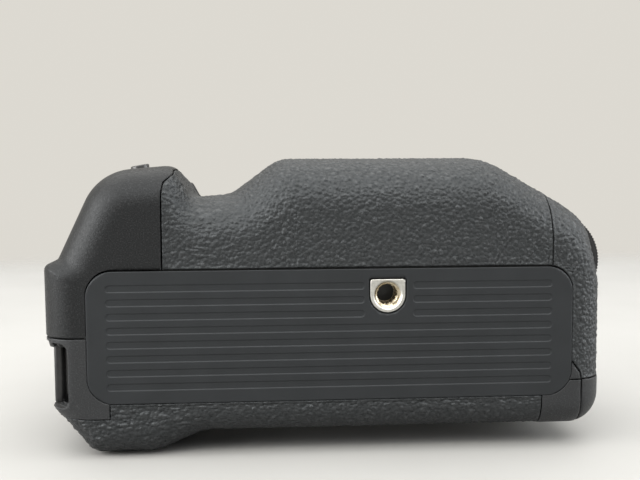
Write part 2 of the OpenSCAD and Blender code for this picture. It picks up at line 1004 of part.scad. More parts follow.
module seat_plate() {
    color("dimgray")
        difference() {
            along_y(seat_y, body_h)
                difference() {
                    polygon(section(body_h, 0));
                    circle(screw_r + run_gap);
                    pin_holes(pin_r + pin_shoulder);
                    stalk_outline(-stalk_wall);
                }
            for (p = screw_posts) {
                rod_y(p, seat_head_r + run_gap, body_h - seat_head_t, body_h + cut);
                rod_y(p, seat_thread_r, seat_y - cut, body_h);
            }
        }
}

module seat_pad() {
    color("#222324")
        along_y(body_h, pad_y)
            difference() {
                polygon(section(body_h, shell_t));
                circle(screw_r + pad_ring);
                pin_holes(pin_r + pin_shoulder + pin_ease);
                stalk_outline(flange_w + seam);
            }
}

module seat_screws() {
    color("gray")
        for (p = screw_posts) {
            rod_y(p, seat_head_r, body_h - seat_head_t, body_h);
            rod_y(p, seat_thread_r, seat_bite, body_h - seat_head_t);
        }
}

module stalk() {
    tip = body_h + stalk_h - head_t;
    rib = stalk_rib;
    reach_z = stalk_d / 2 + rib;
    color("#343536")
        difference() {
            union() {
                along_y(body_h, body_h + flange_t)
                    stalk_outline(flange_w);
                along_y(body_h, tip)
                    stalk_outline();
                for (x = [-stalk_x - stalk_w / 4, -stalk_x + stalk_w / 4])
                    block(
                        [x - rib, body_h, stalk_z - reach_z],
                        [x + rib, tip - rib_short, stalk_z + reach_z]
                    );
            }
            along_y(body_h - cut, tip + cut)
                stalk_outline(-stalk_wall);
        }
}

module stalk_head() {
    tip = body_h + stalk_h;
    color("#2a2b2c")
        difference() {
            union() {
                along_y(tip - head_t, tip)
                    stalk_outline();
                along_y(tip - head_t - head_plug, tip - head_t)
                    stalk_outline(-stalk_wall - run_gap);
            }
            for (k = [0 : contact_n - 1])
                block(
                    [contact_x(k) - slot_w / 2, tip - slot_deep, stalk_z - slot_half],
                    [contact_x(k) + slot_w / 2, tip + cut, stalk_z + slot_half]
                );
        }
}

module stalk_contacts() {
    tip = body_h + stalk_h;
    color("gold")
        for (k = [0 : contact_n - 1])
            block(
                [contact_x(k) - blade_w / 2, tip - slot_deep, stalk_z - contact_half],
                [contact_x(k) + blade_w / 2, tip - blade_in, stalk_z + contact_half]
            );
}

module locating_pins() {
    color("silver")
        for (p = pins_at) {
            rod_y(p, pin_r + pin_shoulder, seat_y, pad_y);
            rod_y(p, pin_r, pad_y, pad_y + pin_out);
        }
}

module chassis() {
    from = bay_x - chassis_t;
    rear = -rear_face + shell_t + chassis_rear;
    color("slategray") {
        block([from, floor_y, chassis_z], [cap_seam + chassis_lap, seat_y, chassis_z + chassis_t]);
        block([from, floor_y + chassis_low, rear], [bay_x, seat_y, chassis_z + chassis_t]);
    }
}

module bay_contacts() {
    color("gold")
        for (k = [0 : contact_n - 1]) {
            y = tray_y0 + bay_contact_y + contact_pitch * k;
            block(
                [bay_x, y, boss_z - contact_half],
                [bay_x + contact_t, y + contact_w, boss_z + contact_half]
            );
        }
}

module strap_bar() {
    z = heel_seam - strap_gap;
    color("#3a3a3a")
        translate([-shutter_end + bar_in, bar_y, z - strap_l])
            linear_extrude(strap_l)
                round_rect(-bar_half, bar_half, bar_r);
}

module main_board() {
    mid = (board_low + board_high) / 2;
    color("darkgreen")
        difference() {
            union() {
                block(
                    [board_low[0], board_y, board_low[1]],
                    [board_high[0], board_y + board_t, board_high[1]]
                );
                for (k = [0 : chip_n - 1]) {
                    x = mid[0] + (k - (chip_n - 1) / 2) * chip_pitch;
                    block(
                        [x - chip_w / 2, board_y, mid[1] - chip_d / 2],
                        [x + chip_w / 2, board_y + board_t + chip_t, mid[1] + chip_d / 2]
                    );
                }
            }
            for (p = board_posts)
                rod_y(p, thread_r + run_gap, 0, far);
        }
}

module board_screws() {
    color("gray")
        for (p = board_posts) {
            rod_y(p, thread_r, board_y - board_bite, board_y + board_t);
            rod_y(p, post_r, board_y + board_t, board_y + board_t + board_head_t);
        }
}

module link(p, q, r) {
    d = norm(q - p);
    translate(p)
        rotate(atan2(q[1] - p[1], q[0] - p[0]))
            translate([0, -r])
                square([d, 2 * r]);
}

module gear_bracket() {
    stops = [[0, 0], idler_b_at, idler_a_at, wheel_at];
    color("lightsteelblue")
        difference() {
            union() {
                along_y(bracket_y, bracket_y + bracket_t) {
                    for (p = [[0, 0], idler_b_at, idler_a_at])
                        translate(p)
                            circle(bracket_ring);
                    translate(wheel_at)
                        circle(bracket_end);
                    for (k = [0 : len(stops) - 2])
                        link(stops[k], stops[k + 1], bracket_w);
                }
                for (p = screw_posts)
                    rod_y(p, bracket_post, bracket_y, seat_y);
            }
            rod_y([0, 0], screw_r + run_gap, 0, far);
            for (p = screw_posts) {
                rod_y(p, axle_r, 0, axle_top);
                rod_y(p, seat_thread_r, seat_bite, far);
            }
        }
}

module axle(p, from) {
    rod_y(p, axle_r, from, axle_top);
    rod_y(p, axle_r + axle_head, from - axle_head_t, from);
}

module idler_axles() {
    color("silver") {
        axle(idler_a_at, gear_y - turn_gap);
        axle(idler_b_at, gear_y - turn_gap);
    }
}

module wheel_axle() {
    color("silver")
        axle(wheel_at, wheel_y - axle_play);
}

module gear_shape(n, phase) {
    pitch_r = gear_m * n / 2;
    base_r = pitch_r * cos(press_angle);
    foot_r = pitch_r - tooth_foot * gear_m;
    head_r = pitch_r + tooth_head * gear_m;
    start_r = max(base_r, foot_r);
    climb = [for (k = [0 : 3]) start_r + (head_r - start_r) * k / 3];
    polygon([
        for (i = [0 : n - 1])
            let (a = phase + i * 360 / n)
            each concat(
                [polar(foot_r, a - tooth_half(n, start_r))],
                [for (r = climb) polar(r, a - tooth_half(n, r))],
                [for (k = [3 : -1 : 0]) polar(climb[k], a + tooth_half(n, climb[k]))],
                [polar(foot_r, a + tooth_half(n, start_r))]
            )
    ]);
}

module gear(n, at, phase) {
    along_y(gear_y, gear_y + gear_t)
        translate(at)
            gear_shape(n, phase);
}

module ribbed_disc(r, n, deep) {
    polygon([
        for (i = [0 : 4 * n - 1])
            let (a = i * 90 / n, low = (i % 4 == 0 || i % 4 == 3) ? deep : 0)
            polar(r - low, a)
    ]);
}

module lock_wheel() {
    color("#2c2c2d")
        difference() {
            union() {
                along_y(wheel_y + wheel_bevel, wheel_y + wheel_t - wheel_bevel)
                    translate(wheel_at)
                        ribbed_disc(wheel_r, wheel_ribs, rib_d);
                rod_y(wheel_at, wheel_r - wheel_step, wheel_y, wheel_y + wheel_t);
                rod_y(wheel_at, hub_r, wheel_y + wheel_t, gear_y);
                gear(wheel_teeth, wheel_at, wheel_phase);
            }
            rod_y(wheel_at, axle_r + run_gap, 0, far);
        }
}

module idler(at, phase) {
    difference() {
        gear(idler_teeth, at, phase);
        rod_y(at, axle_r + run_gap, 0, far);
    }
}

module idler_gear_a() {
    color("goldenrod")
        idler(idler_a_at, idler_a_phase);
}

module idler_gear_b() {
    color("goldenrod")
        idler(idler_b_at, idler_b_phase);
}

module lock_screw() {
    neck = [seat_y + neck_from, pad_y + neck_over];
    color("silver") {
        gear(screw_teeth, [0, 0], screw_phase);
        rod_y([0, 0], screw_r, gear_y, neck[0]);
        rod_y([0, 0], screw_r - neck_cut, neck[0], neck[1]);
        rod_y([0, 0], screw_r, neck[1], neck[1] + screw_out);
    }
}

module magazine_tray() {
    color("#37383a")
        difference() {
            block([tray_x0, tray_y0, well_z0 + tray_rim], [tray_x1, tray_y1, tray_back]);
            for (x = [inner_well, outer_well])
                block([x, tray_y0 + tray_rail, -far], [x + well_l, tray_y1 - tray_rail, well_z1]);
            for (y = boss_y) {
                rod_x(y, boss_z, seat_thread_r, 0, far);
                rod_x(y, boss_z, seat_head_r + run_gap, 0, tray_x1 - tray_end + seat_head_t);
            }
        }
}

module cap_screws() {
    head = tray_x1 - tray_end;
    color("gray")
        for (y = boss_y) {
            rod_x(y, boss_z, seat_head_r, head, head + seat_head_t);
            rod_x(y, boss_z, seat_thread_r, head + seat_head_t, tray_x1 + cap_bite);
        }
}

module pack_contacts() {
    color("gold")
        for (x = [inner_well, outer_well], k = [0 : pack_contact_n - 1]) {
            y = tray_y0 + pack_contact_y + pack_contact_pitch * k;
            block(
                [x, y, well_z1 - pack_contact_z[0]],
                [x + pack_contact_t, y + contact_w, well_z1 - pack_contact_z[1]]
            );
        }
}

module end_cap() {
    color("dimgray")
        difference() {
            union() {
                difference() {
                    intersection() {
                        union() {
                            intersection() {
                                loft(0, seat_y);
                                block([0, -cut, -far], [far, far, skin_low - seam / 2]);
                            }
                            loft(skin_t, seat_y);
                        }
                        cap_zone();
                    }
                    cavity();
                }
                for (y = boss_y)
                    rod_x(y, boss_z, boss_r, tray_x1, cap_in + wall / 2);
            }
            for (y = boss_y)
                rod_x(y, boss_z, seat_thread_r, 0, tray_x1 + cap_hole);
            rod_x(knob_y, knob_z, knob_r + turn_gap, knob_floor, far);
            rod_x(knob_y, knob_z, knob_shaft + run_gap, 0, far);
        }
}

module end_cap_skin() {
    color("#2b2c2e")
        difference() {
            intersection() {
                difference() {
                    loft(0, seat_y);
                    loft(skin_t, body_h + cut);
                }
                cap_zone();
                block([0, -cut, skin_low + seam / 2], [far, far, far]);
            }
            rod_x(knob_y, knob_z, knob_r + turn_gap, 0, far);
        }
}

module latch_knob() {
    face = wheel_end - knob_proud;
    half = [knob_r - knob_grip_in, knob_grip_w];
    color("#3a3b3c") {
        rod_x(knob_y, knob_z, knob_r, knob_floor + knob_play, face);
        rod_x(knob_y, knob_z, knob_shaft, cam_x, knob_floor + knob_play);
        along_x(face, face + knob_grip_t)
            translate([knob_y, knob_z])
                round_rect(-half, half, knob_grip_r);
    }
}

module latch_cam() {
    color("silver")
        along_x(cam_x, cap_in - turn_gap)
            difference() {
                translate([knob_y, knob_z])
                    round_rect([-cam_short, -cam_half], [cam_long, cam_half], cam_r);
                translate([knob_y, knob_z])
                    circle(knob_shaft);
            }
}

module shutter_button() {
    top = lever_t + button_proud;
    color("#1d1d1e")
        at_shutter()
            difference() {
                union() {
                    translate([0, 0, -button_skirt])
                        cylinder(r = shutter_r, h = top + button_skirt);
                    translate([0, 0, -boss_deep + press_travel + press_play])
                        cylinder(r = button_stem, h = boss_deep);
                }
                translate([0, 0, top + dish_r - dish_d])
                    sphere(dish_r);
            }
}

module power_lever() {
    inner = shutter_r + turn_gap + neck_t + run_gap;
    color("#3d3e40")
        at_shutter()
            translate([0, 0, turn_gap])
                difference() {
                    union() {
                        cylinder(r = lever_r, h = lever_t - lever_play);
                        translate([-tab_w / 2, 0, 0])
                            cube([tab_w, lever_r + tab_l, lever_t - lever_play]);
                    }
                    translate([0, 0, -cut])
                        cylinder(r = inner, h = lever_t + 2 * cut);
                }
}

module release_switch() {
    color("#202020")
        at_shutter()
            translate([0, 0, -boss_deep - switch_h])
                cylinder(r = switch_r, h = switch_h);
}

module function_button() {
    color("#1d1d1e")
        at_function()
            translate([0, 0, function_out - function_h])
                cylinder(r = function_r, h = function_h);
}

module control_dial() {
    color("#242425")
        at_dial()
            rotate([0, 90, 0])
                difference() {
                    union() {
                        translate([0, 0, -dial_w / 2 + dial_bevel])
                            linear_extrude(dial_w - 2 * dial_bevel)
                                ribbed_disc(dial_r, dial_ribs, dial_rib_d);
                        cylinder(r = dial_r - dial_step, h = dial_w, center = true);
                    }
                    cylinder(r = dial_axle_r + run_gap, h = dial_w + 2 * cut, center = true);
                }
}

module dial_axle() {
    color("silver")
        at_dial()
            dial_disc(dial_axle_r, dial_w + 2 * turn_gap + 2 * cheek_t);
}

module rear_panel() {
    half = panel_w / 2;
    color("#3a3b3d")
        difference() {
            union() {
                block([panel_x - half, panel_y[0], panel_out], [panel_x + half, panel_y[1], panel_in]);
                rod_z(stick_at, stick_gap + collar_w, panel_in, stick_z + collar_w);
                for (x = [-1, 1], y = [panel_y[0] + post_in[1], panel_y[1] - post_in[1]])
                    rod_z([panel_x + x * (half - post_in[0]), y], panel_post_r, panel_in, board_z);
            }
            rod_z(focus_at, focus_r + button_gap, -far, far);
            for (p = [lock_at, point_at])
                rod_z(p, small_r + button_gap, -far, far);
            rod_z(stick_at, stick_gap, -far, far);
            translate([stick_at[0], stick_at[1], stick_z])
                rotate([0, 90, 0])
                    cylinder(r = trunnion_hole, h = trunnion_bore, center = true);
        }
}

module control_board() {
    half = panel_w / 2 - board_in[0];
    color("darkgreen") {
        block(
            [panel_x - half, panel_y[0] + board_in[1], board_z],
            [panel_x + half, panel_y[1] - board_in[1], board_z + key_board_t]
        );
        for (p = [focus_at, lock_at, point_at])
            rod_z(p, key_switch_r, board_z - switch_t, board_z);
    }
}

module rear_button(at, r) {
    color("#1d1d1e")
        rod_z(at, r, button_out, button_in);
}

module focus_button() {
    rear_button(focus_at, focus_r);
}

module lock_button() {
    rear_button(lock_at, small_r);
}

module point_button() {
    rear_button(point_at, small_r);
}

module at_stick() {
    translate([stick_at[0], stick_at[1], stick_z])
        children();
}

module joystick_gimbal() {
    color("silver")
        at_stick()
            difference() {
                union() {
                    cylinder(r = ring_r, h = ring_t, center = true);
                    rotate([0, 90, 0])
                        cylinder(r = trunnion_r, h = trunnion_l, center = true);
                }
                cylinder(r = ring_hole, h = ring_t + 2 * cut, center = true);
                rotate([90, 0, 0])
                    cylinder(r = trunnion_hole, h = 2 * (ring_r + cut), center = true);
            }
}

module joystick() {
    cap_out = button_out - stick_z;
    color("#1d1d1e")
        at_stick()
            difference() {
                union() {
                    sphere(ball_r);
                    rotate([90, 0, 0])
                        cylinder(r = trunnion_r, h = pin_l, center = true);
                    translate([0, 0, cap_out])
                        cylinder(r = neck_r, h = -cap_out);
                    translate([0, 0, cap_out])
                        cylinder(r = cap_r, h = cap_t);
                }
                translate([0, 0, cap_out + cap_dish - cap_dish_r])
                    sphere(cap_dish_r);
            }
}

front_casing();
rear_casing();
shutter_housing();
front_grip_skin();
rear_grip_skin();
base_plate();
tripod_socket();
seat_plate();
seat_pad();
seat_screws();
stalk();
stalk_head();
stalk_contacts();
locating_pins();
chassis();
bay_contacts();
strap_bar();
main_board();
board_screws();
gear_bracket();
idler_axles();
wheel_axle();
lock_wheel();
idler_gear_a();
idler_gear_b();
lock_screw();
magazine_tray();
end_cap();
end_cap_skin();
pack_contacts();
cap_screws();
latch_knob();
latch_cam();
shutter_button();
power_lever();
release_switch();
function_button();
control_dial();
dial_axle();
rear_panel();
control_board();
focus_button();
lock_button();
point_button();
joystick_gimbal();
joystick();
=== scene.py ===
# %% [markdown]
# This lesson dresses a vertical battery grip for a camera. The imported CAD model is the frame: it says where
# every piece is and how it moves. Blender adds what the eye sees, which here is mostly one long moulded body
# under grained covering. The body could be sculpted by hand, but it is lofted from a few corners instead, so
# that each cover is cut from one and the same smooth surface and the seams between the covers meet
# everywhere.

# %% Load the frame
import json
import math
import bmesh
import bpy
import numpy as np
from mathutils import Matrix, Vector
from mathutils.kdtree import KDTree


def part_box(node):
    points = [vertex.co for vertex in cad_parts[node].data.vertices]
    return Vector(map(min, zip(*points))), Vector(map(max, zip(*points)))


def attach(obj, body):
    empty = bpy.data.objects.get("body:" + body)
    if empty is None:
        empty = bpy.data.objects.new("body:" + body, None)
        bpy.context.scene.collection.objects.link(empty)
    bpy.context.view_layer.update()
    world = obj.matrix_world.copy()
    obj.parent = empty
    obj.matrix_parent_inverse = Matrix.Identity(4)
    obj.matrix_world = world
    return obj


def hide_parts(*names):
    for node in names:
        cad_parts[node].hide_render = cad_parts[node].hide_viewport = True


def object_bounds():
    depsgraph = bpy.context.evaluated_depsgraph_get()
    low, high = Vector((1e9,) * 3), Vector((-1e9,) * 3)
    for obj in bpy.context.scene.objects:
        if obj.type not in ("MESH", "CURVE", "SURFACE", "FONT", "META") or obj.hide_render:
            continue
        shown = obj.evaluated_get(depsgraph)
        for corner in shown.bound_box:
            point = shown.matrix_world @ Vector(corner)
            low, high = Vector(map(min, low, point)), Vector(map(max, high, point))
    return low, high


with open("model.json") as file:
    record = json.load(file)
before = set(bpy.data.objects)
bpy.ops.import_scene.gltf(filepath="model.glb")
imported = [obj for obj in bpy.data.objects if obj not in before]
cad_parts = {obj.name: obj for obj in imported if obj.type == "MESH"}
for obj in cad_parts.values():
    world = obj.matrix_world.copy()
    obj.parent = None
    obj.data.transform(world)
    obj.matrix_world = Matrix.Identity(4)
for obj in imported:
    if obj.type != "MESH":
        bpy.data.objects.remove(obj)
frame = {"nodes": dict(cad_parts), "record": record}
cad_low, cad_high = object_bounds()
cad = frame["nodes"]
MM = 0.001
SEED = 7


def box_mm(node):
    low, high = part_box(node)
    return np.array(low) / MM, np.array(high) / MM


print("CAD nodes:", len(cad), "box in mm:", [round(v / MM, 1) for v in (*cad_low, *cad_high)])

# %% [markdown]
# The photograph looks straight at the ribbed base from a little above its middle. A camera can be set by eye,
# but the plate's edges and the 1/4 inch socket give enough straight lines to work out its place, so it is
# written down here.

# %% Camera
IMAGE_WIDTH = 640
FOCAL_PIXELS = 900.0
SENSOR_WIDTH = 36.0
camera_place = Vector((-32.425, -222.613, 31.684)) * MM
look_along = Vector((0.06864, 0.99452, -0.07885)).normalized()
image_up = Vector((0.01007, 0.07835, 0.99688)).normalized()
image_right = look_along.cross(image_up).normalized()

lens = bpy.data.cameras.new("photo_camera")
lens.sensor_width = SENSOR_WIDTH
lens.lens = FOCAL_PIXELS / IMAGE_WIDTH * SENSOR_WIDTH
lens.clip_start = 0.01
photo_camera = bpy.data.objects.new("photo_camera", lens)
bpy.context.scene.collection.objects.link(photo_camera)
turn_to_view = Matrix((image_right, image_up, -look_along)).transposed()
photo_camera.matrix_world = Matrix.Translation(camera_place) @ turn_to_view.to_4x4()
bpy.context.scene.camera = photo_camera
print("lens in mm:", round(lens.lens, 2))

# %% [markdown]
# The grip stands on its rear side on a pale table inside a bright, soft surround. A ring of small lamps would
# scatter highlights over the grain. One very large soft lamp overhead gives the photograph's look, bright on
# every face that looks up and quiet on the base; a weaker one in front and one at each end lift the shadows.
# The table fades out behind the grip, so that the wall behind it needs no model.

# %% Table and light
scene = bpy.context.scene
scene.view_settings.view_transform = "Standard"
TABLE_SIZE = 6.0
floor_z = cad_low[2] - 0.0002

table_mesh = bpy.data.meshes.new("table")
half = TABLE_SIZE / 2
table_mesh.from_pydata(
    [(-half, -half, floor_z), (half, -half, floor_z), (half, half, floor_z), (-half, half, floor_z)],
    [], [(0, 1, 2, 3)]
)
table = bpy.data.objects.new("table", table_mesh)
scene.collection.objects.link(table)


def soft_lamp(name, place, aim, size, power, colour):
    data = bpy.data.lights.new(name, "AREA")
    data.shape = "RECTANGLE"
    data.size, data.size_y = size
    data.energy = power
    data.color = colour
    lamp = bpy.data.objects.new(name, data)
    lamp.location = place
    lamp.rotation_euler = (Vector(aim) - Vector(place)).to_track_quat("-Z", "Y").to_euler()
    scene.collection.objects.link(lamp)
    return lamp


soft_lamp("lamp_overhead", (0.0, -0.02, 0.75), (0.0, -0.019, 0), (1.5, 1.5), 19.0, (1.0, 0.99, 0.965))
soft_lamp("lamp_front", (0.0, -0.9, 0.9), (0.0, -0.12, -0.04), (1.2, 0.6), 6.0, (1.0, 0.99, 0.97))
soft_lamp("lamp_right", (0.7, -0.1, 0.25), (0, 0.02, 0), (0.6, 0.4), 4.0, (0.98, 0.99, 1.0))
soft_lamp("lamp_left", (-0.7, -0.2, 0.25), (0, 0.02, 0), (0.6, 0.5), 8.0, (1.0, 0.99, 0.97))

# %% [markdown]
# The world does two jobs. As light it is strongest from above and behind and weak from the front, where a
# person stands in the way. To the camera, and to mirror-like reflections, it is one pale wall. A picture of a
# room would light the grip too, but two plain colours and a mixer keep the file free of images.

# %% Surround
world = bpy.data.worlds.new("surround")
scene.world = world
world.use_nodes = True
sky = world.node_tree
way = sky.nodes.new("ShaderNodeTexCoord")
facing = sky.nodes.new("ShaderNodeVectorMath")
facing.operation = "DOT_PRODUCT"
facing.inputs[1].default_value = (0.0, 0.6, 0.8)
spread = sky.nodes.new("ShaderNodeMapRange")
spread.inputs["From Min"].default_value = -1.0
light_ramp = sky.nodes.new("ShaderNodeValToRGB")
light_ramp.color_ramp.elements[0].color = (0.05, 0.05, 0.05, 1)
light_ramp.color_ramp.elements[1].color = (0.55, 0.56, 0.58, 1)
sky.links.new(way.outputs["Generated"], facing.inputs[0])
sky.links.new(facing.outputs["Value"], spread.inputs["Value"])
sky.links.new(spread.outputs["Result"], light_ramp.inputs["Fac"])
sky.links.new(light_ramp.outputs["Color"], sky.nodes["Background"].inputs["Color"])
sky.nodes["Background"].inputs["Strength"].default_value = 1.0
wall = sky.nodes.new("ShaderNodeBackground")
wall.inputs["Color"].default_value = (0.72, 0.695, 0.64, 1)
wall.inputs["Strength"].default_value = 1.0
ray = sky.nodes.new("ShaderNodeLightPath")
shiny = sky.nodes.new("ShaderNodeMath")
shiny.operation = "ADD"
seen = sky.nodes.new("ShaderNodeMath")
seen.operation = "ADD"
seen.use_clamp = True
swap = sky.nodes.new("ShaderNodeMixShader")
sky.links.new(ray.outputs["Is Glossy Ray"], shiny.inputs[0])
sky.links.new(ray.outputs["Is Transmission Ray"], shiny.inputs[1])
sky.links.new(ray.outputs["Is Camera Ray"], seen.inputs[0])
sky.links.new(shiny.outputs["Value"], seen.inputs[1])
sky.links.new(seen.outputs["Value"], swap.inputs["Fac"])
sky.links.new(sky.nodes["Background"].outputs["Background"], swap.inputs[1])
sky.links.new(wall.outputs["Background"], swap.inputs[2])
sky.links.new(swap.outputs["Shader"], sky.nodes["World Output"].inputs["Surface"])

# %% [markdown]
# Every finish below is a Principled shader with its own noise. These helpers only save typing: one starts a
# material, one mottles its colour or its roughness, and one adds fine relief. Textures use object
# coordinates, which are metres here, so a grain size in millimetres can be written as it is.

# %% Helpers for finishes
def new_finish(name, colour, roughness, metallic=0.0, specular=0.5):
    finish = bpy.data.materials.new(name)
    finish.use_nodes = True
    shader = finish.node_tree.nodes["Principled BSDF"]
    shader.inputs["Base Color"].default_value = (*colour, 1)
    shader.inputs["Roughness"].default_value = roughness
    shader.inputs["Metallic"].default_value = metallic
    shader.inputs["Specular IOR Level"].default_value = specular
    return finish


def noise_of(finish, size_mm, detail=3.0, stretch=(1, 1, 1)):
    tree = finish.node_tree
    coords = tree.nodes.new("ShaderNodeTexCoord")
    scale = tree.nodes.new("ShaderNodeMapping")
    scale.inputs["Scale"].default_value = [s / (size_mm * MM) for s in stretch]
    noise = tree.nodes.new("ShaderNodeTexNoise")
    noise.inputs["Scale"].default_value = 1.0
    noise.inputs["Detail"].default_value = detail
    tree.links.new(coords.outputs["Object"], scale.inputs["Vector"])
    tree.links.new(scale.outputs["Vector"], noise.inputs["Vector"])
    return noise.outputs["Fac"]


def ramp_of(finish, source, stops):
    tree = finish.node_tree
    ramp = tree.nodes.new("ShaderNodeValToRGB")
    ramp.color_ramp.elements[0].position, ramp.color_ramp.elements[1].position = stops[0][0], stops[-1][0]
    for place, _ in stops[1:-1]:
        ramp.color_ramp.elements.new(place)
    for element, (place, colour) in zip(ramp.color_ramp.elements, stops):
        element.color = (*colour, 1)
    tree.links.new(source, ramp.inputs["Fac"])
    return ramp.outputs["Color"]


def mottle(finish, source, stops, socket="Base Color"):
    shader = finish.node_tree.nodes["Principled BSDF"]
    finish.node_tree.links.new(ramp_of(finish, source, stops), shader.inputs[socket])


def relief(finish, source, height_mm, strength=1.0):
    tree = finish.node_tree
    shader = tree.nodes["Principled BSDF"]
    bump = tree.nodes.new("ShaderNodeBump")
    bump.inputs["Strength"].default_value = strength
    bump.inputs["Distance"].default_value = height_mm * MM
    earlier = [link.from_socket for link in tree.links if link.to_socket == shader.inputs["Normal"]]
    if earlier:
        tree.links.new(earlier[0], bump.inputs["Normal"])
    tree.links.new(source, bump.inputs["Height"])
    tree.links.new(bump.outputs["Normal"], shader.inputs["Normal"])


def grey(value, blue=0.0):
    return (value, value * (1 + 0.4 * blue), value * (1 + blue))

# %% [markdown]
# The table is plain white board, a little mottled, because a perfectly even white reads as empty space.
# Behind the grip it turns transparent over a hand's width, which gives the soft line where table and wall
# meet.

# %% Finish of the table
table_finish = new_finish("white_table", (0.37, 0.366, 0.352), 0.6, specular=0.2)
mottle(table_finish, noise_of(table_finish, 60), [(0.3, (0.36, 0.356, 0.342)), (0.7, (0.38, 0.376, 0.362))])
table_mesh.materials.append(table_finish)
TABLE_END = (0.40, 0.56)
tree = table_finish.node_tree
place = tree.nodes.new("ShaderNodeTexCoord")
depth_of = tree.nodes.new("ShaderNodeSeparateXYZ")
fading = tree.nodes.new("ShaderNodeMapRange")
fading.interpolation_type = "SMOOTHSTEP"
fading.inputs["From Min"].default_value, fading.inputs["From Max"].default_value = TABLE_END
clear = tree.nodes.new("ShaderNodeBsdfTransparent")
blend = tree.nodes.new("ShaderNodeMixShader")
tree.links.new(place.outputs["Object"], depth_of.inputs["Vector"])
tree.links.new(depth_of.outputs["Y"], fading.inputs["Value"])
tree.links.new(fading.outputs["Result"], blend.inputs["Fac"])
tree.links.new(tree.nodes["Principled BSDF"].outputs["BSDF"], blend.inputs[1])
tree.links.new(clear.outputs["BSDF"], blend.inputs[2])
tree.links.new(blend.outputs["Shader"], tree.nodes["Material Output"].inputs["Surface"])

# %% [markdown]
# The covering is a grained, bonded rubber sheet. Its pebbles are real geometry further down, where each point
# of the surface also keeps how deep it lies in a crease. The finish reads that value: it paints the creases
# darker than the pebble tops, as painted shade in the creases, and makes them duller, and adds only the small
# pebbles between the large ones as relief. A cool tint on the shine gives the blue-grey of its top.

# %% Finish of the grained covering
leather = new_finish("grained_covering", grey(0.020, 0.1), 0.40, specular=0.5)
leather.node_tree.nodes["Principled BSDF"].inputs["Specular Tint"].default_value = (0.88, 0.95, 1.0, 1)
crease = leather.node_tree.nodes.new("ShaderNodeAttribute")
crease.attribute_name = "grain"
# Painted shade: this colour ramp makes the creases about ten times darker than the pebble tops, in place of the
# shade that falls into them.
mottle(leather, crease.outputs["Fac"],
       [(0.0, grey(0.003, 0.05)), (0.5, grey(0.012, 0.05)), (1.0, grey(0.030, 0.05))])
mottle(leather, crease.outputs["Fac"], [(0.0, (0.62,) * 3), (1.0, (0.31,) * 3)], "Roughness")


def cells_of(finish, size_mm):
    """Soft cells of about that size, 0 in the middle of each."""
    tree = finish.node_tree
    coords = tree.nodes.new("ShaderNodeTexCoord")
    cells = tree.nodes.new("ShaderNodeTexVoronoi")
    cells.feature = "SMOOTH_F1"
    cells.inputs["Scale"].default_value = 1 / (size_mm * MM)
    cells.inputs["Smoothness"].default_value = 0.25
    tree.links.new(coords.outputs["Object"], cells.inputs["Vector"])
    return cells.outputs["Distance"]


relief(leather, cells_of(leather, 0.95), -0.30, 1.0)
relief(leather, noise_of(leather, 0.5, 4), 0.12, 0.8)

# %% [markdown]
# The hump and the plain covers are one moulded plastic with a fine spark texture. On the real thing it
# sparkles faintly where light grazes it; a noise finer than a third of a millimetre in colour, roughness and
# relief does the same. The rear moulding and the end cap's plain edge take a lighter copy of it, which is
# painted light: the light that the table bounces onto these lower pieces.

# %% Finish of the plain mouldings
def spark_moulding(name, dark, middle, light):
    finish = new_finish(name, grey(middle), 0.45, specular=0.25)
    finish.node_tree.nodes["Principled BSDF"].inputs["Specular Tint"].default_value = (0.92, 0.96, 1.0, 1)
    spark = noise_of(finish, 0.35, 2)
    mottle(finish, spark, [(0.3, grey(dark, 0.06)), (0.55, grey(middle, 0.06)), (0.75, grey(light, 0.06))])
    mottle(finish, noise_of(finish, 0.6, 3), [(0.3, (0.38,) * 3), (0.7, (0.54,) * 3)], "Roughness")
    relief(finish, spark, 0.12, 0.6)
    return finish


moulding = spark_moulding("spark_textured_moulding", 0.004, 0.008, 0.024)
# Painted light: the same moulding made lighter, in place of the light that the table bounces onto the rear moulding
# and the end cap's edge.
table_lit_moulding = spark_moulding("spark_moulding_painted_table_light", 0.018, 0.024, 0.042)

# %% [markdown]
# The base plate is sheet metal under smooth matte paint. Paint shows hardly any grain, so its noise is wide
# and weak.

# %% Finish of the base plate
plate_paint = new_finish("matte_charcoal_paint", grey(0.024), 0.5, specular=0.35)
plate_paint.node_tree.nodes["Principled BSDF"].inputs["Specular Tint"].default_value = (0.9, 0.96, 1.0, 1)
mottle(plate_paint, noise_of(plate_paint, 9, 4), [(0.3, grey(0.0105, 0.16)), (0.7, grey(0.0135, 0.16))])
mottle(plate_paint, noise_of(plate_paint, 1.5, 3), [(0.3, (0.46,) * 3), (0.7, (0.56,) * 3)], "Roughness")
relief(plate_paint, noise_of(plate_paint, 0.25, 2), 0.015, 0.4)

# %% [markdown]
# Metal inside is turned or stamped. Turned steel has fine marks around it, which a stretched noise gives,
# bead-blasted alloy has a soft even tooth, and the tripod insert is plated, with a warmer tone where light
# bounces inside it.

# %% Finishes of metal
steel = new_finish("turned_steel", (0.62, 0.60, 0.56), 0.28, metallic=1.0)
mottle(steel, noise_of(steel, 0.6, 4, (1, 4, 1)), [(0.3, (0.52, 0.50, 0.46)), (0.7, (0.70, 0.68, 0.63))])
mottle(steel, noise_of(steel, 0.8, 3), [(0.3, (0.22,) * 3), (0.7, (0.38,) * 3)], "Roughness")
relief(steel, noise_of(steel, 0.3, 3, (1, 5, 1)), 0.01, 0.4)

bright_nickel = new_finish("blasted_nickel", (0.50, 0.495, 0.47), 0.42, metallic=1.0)
mottle(bright_nickel, noise_of(bright_nickel, 0.7, 4), [(0.3, (0.44, 0.435, 0.41)), (0.7, (0.56, 0.555, 0.525))])
relief(bright_nickel, noise_of(bright_nickel, 0.3, 3), 0.03, 0.6)

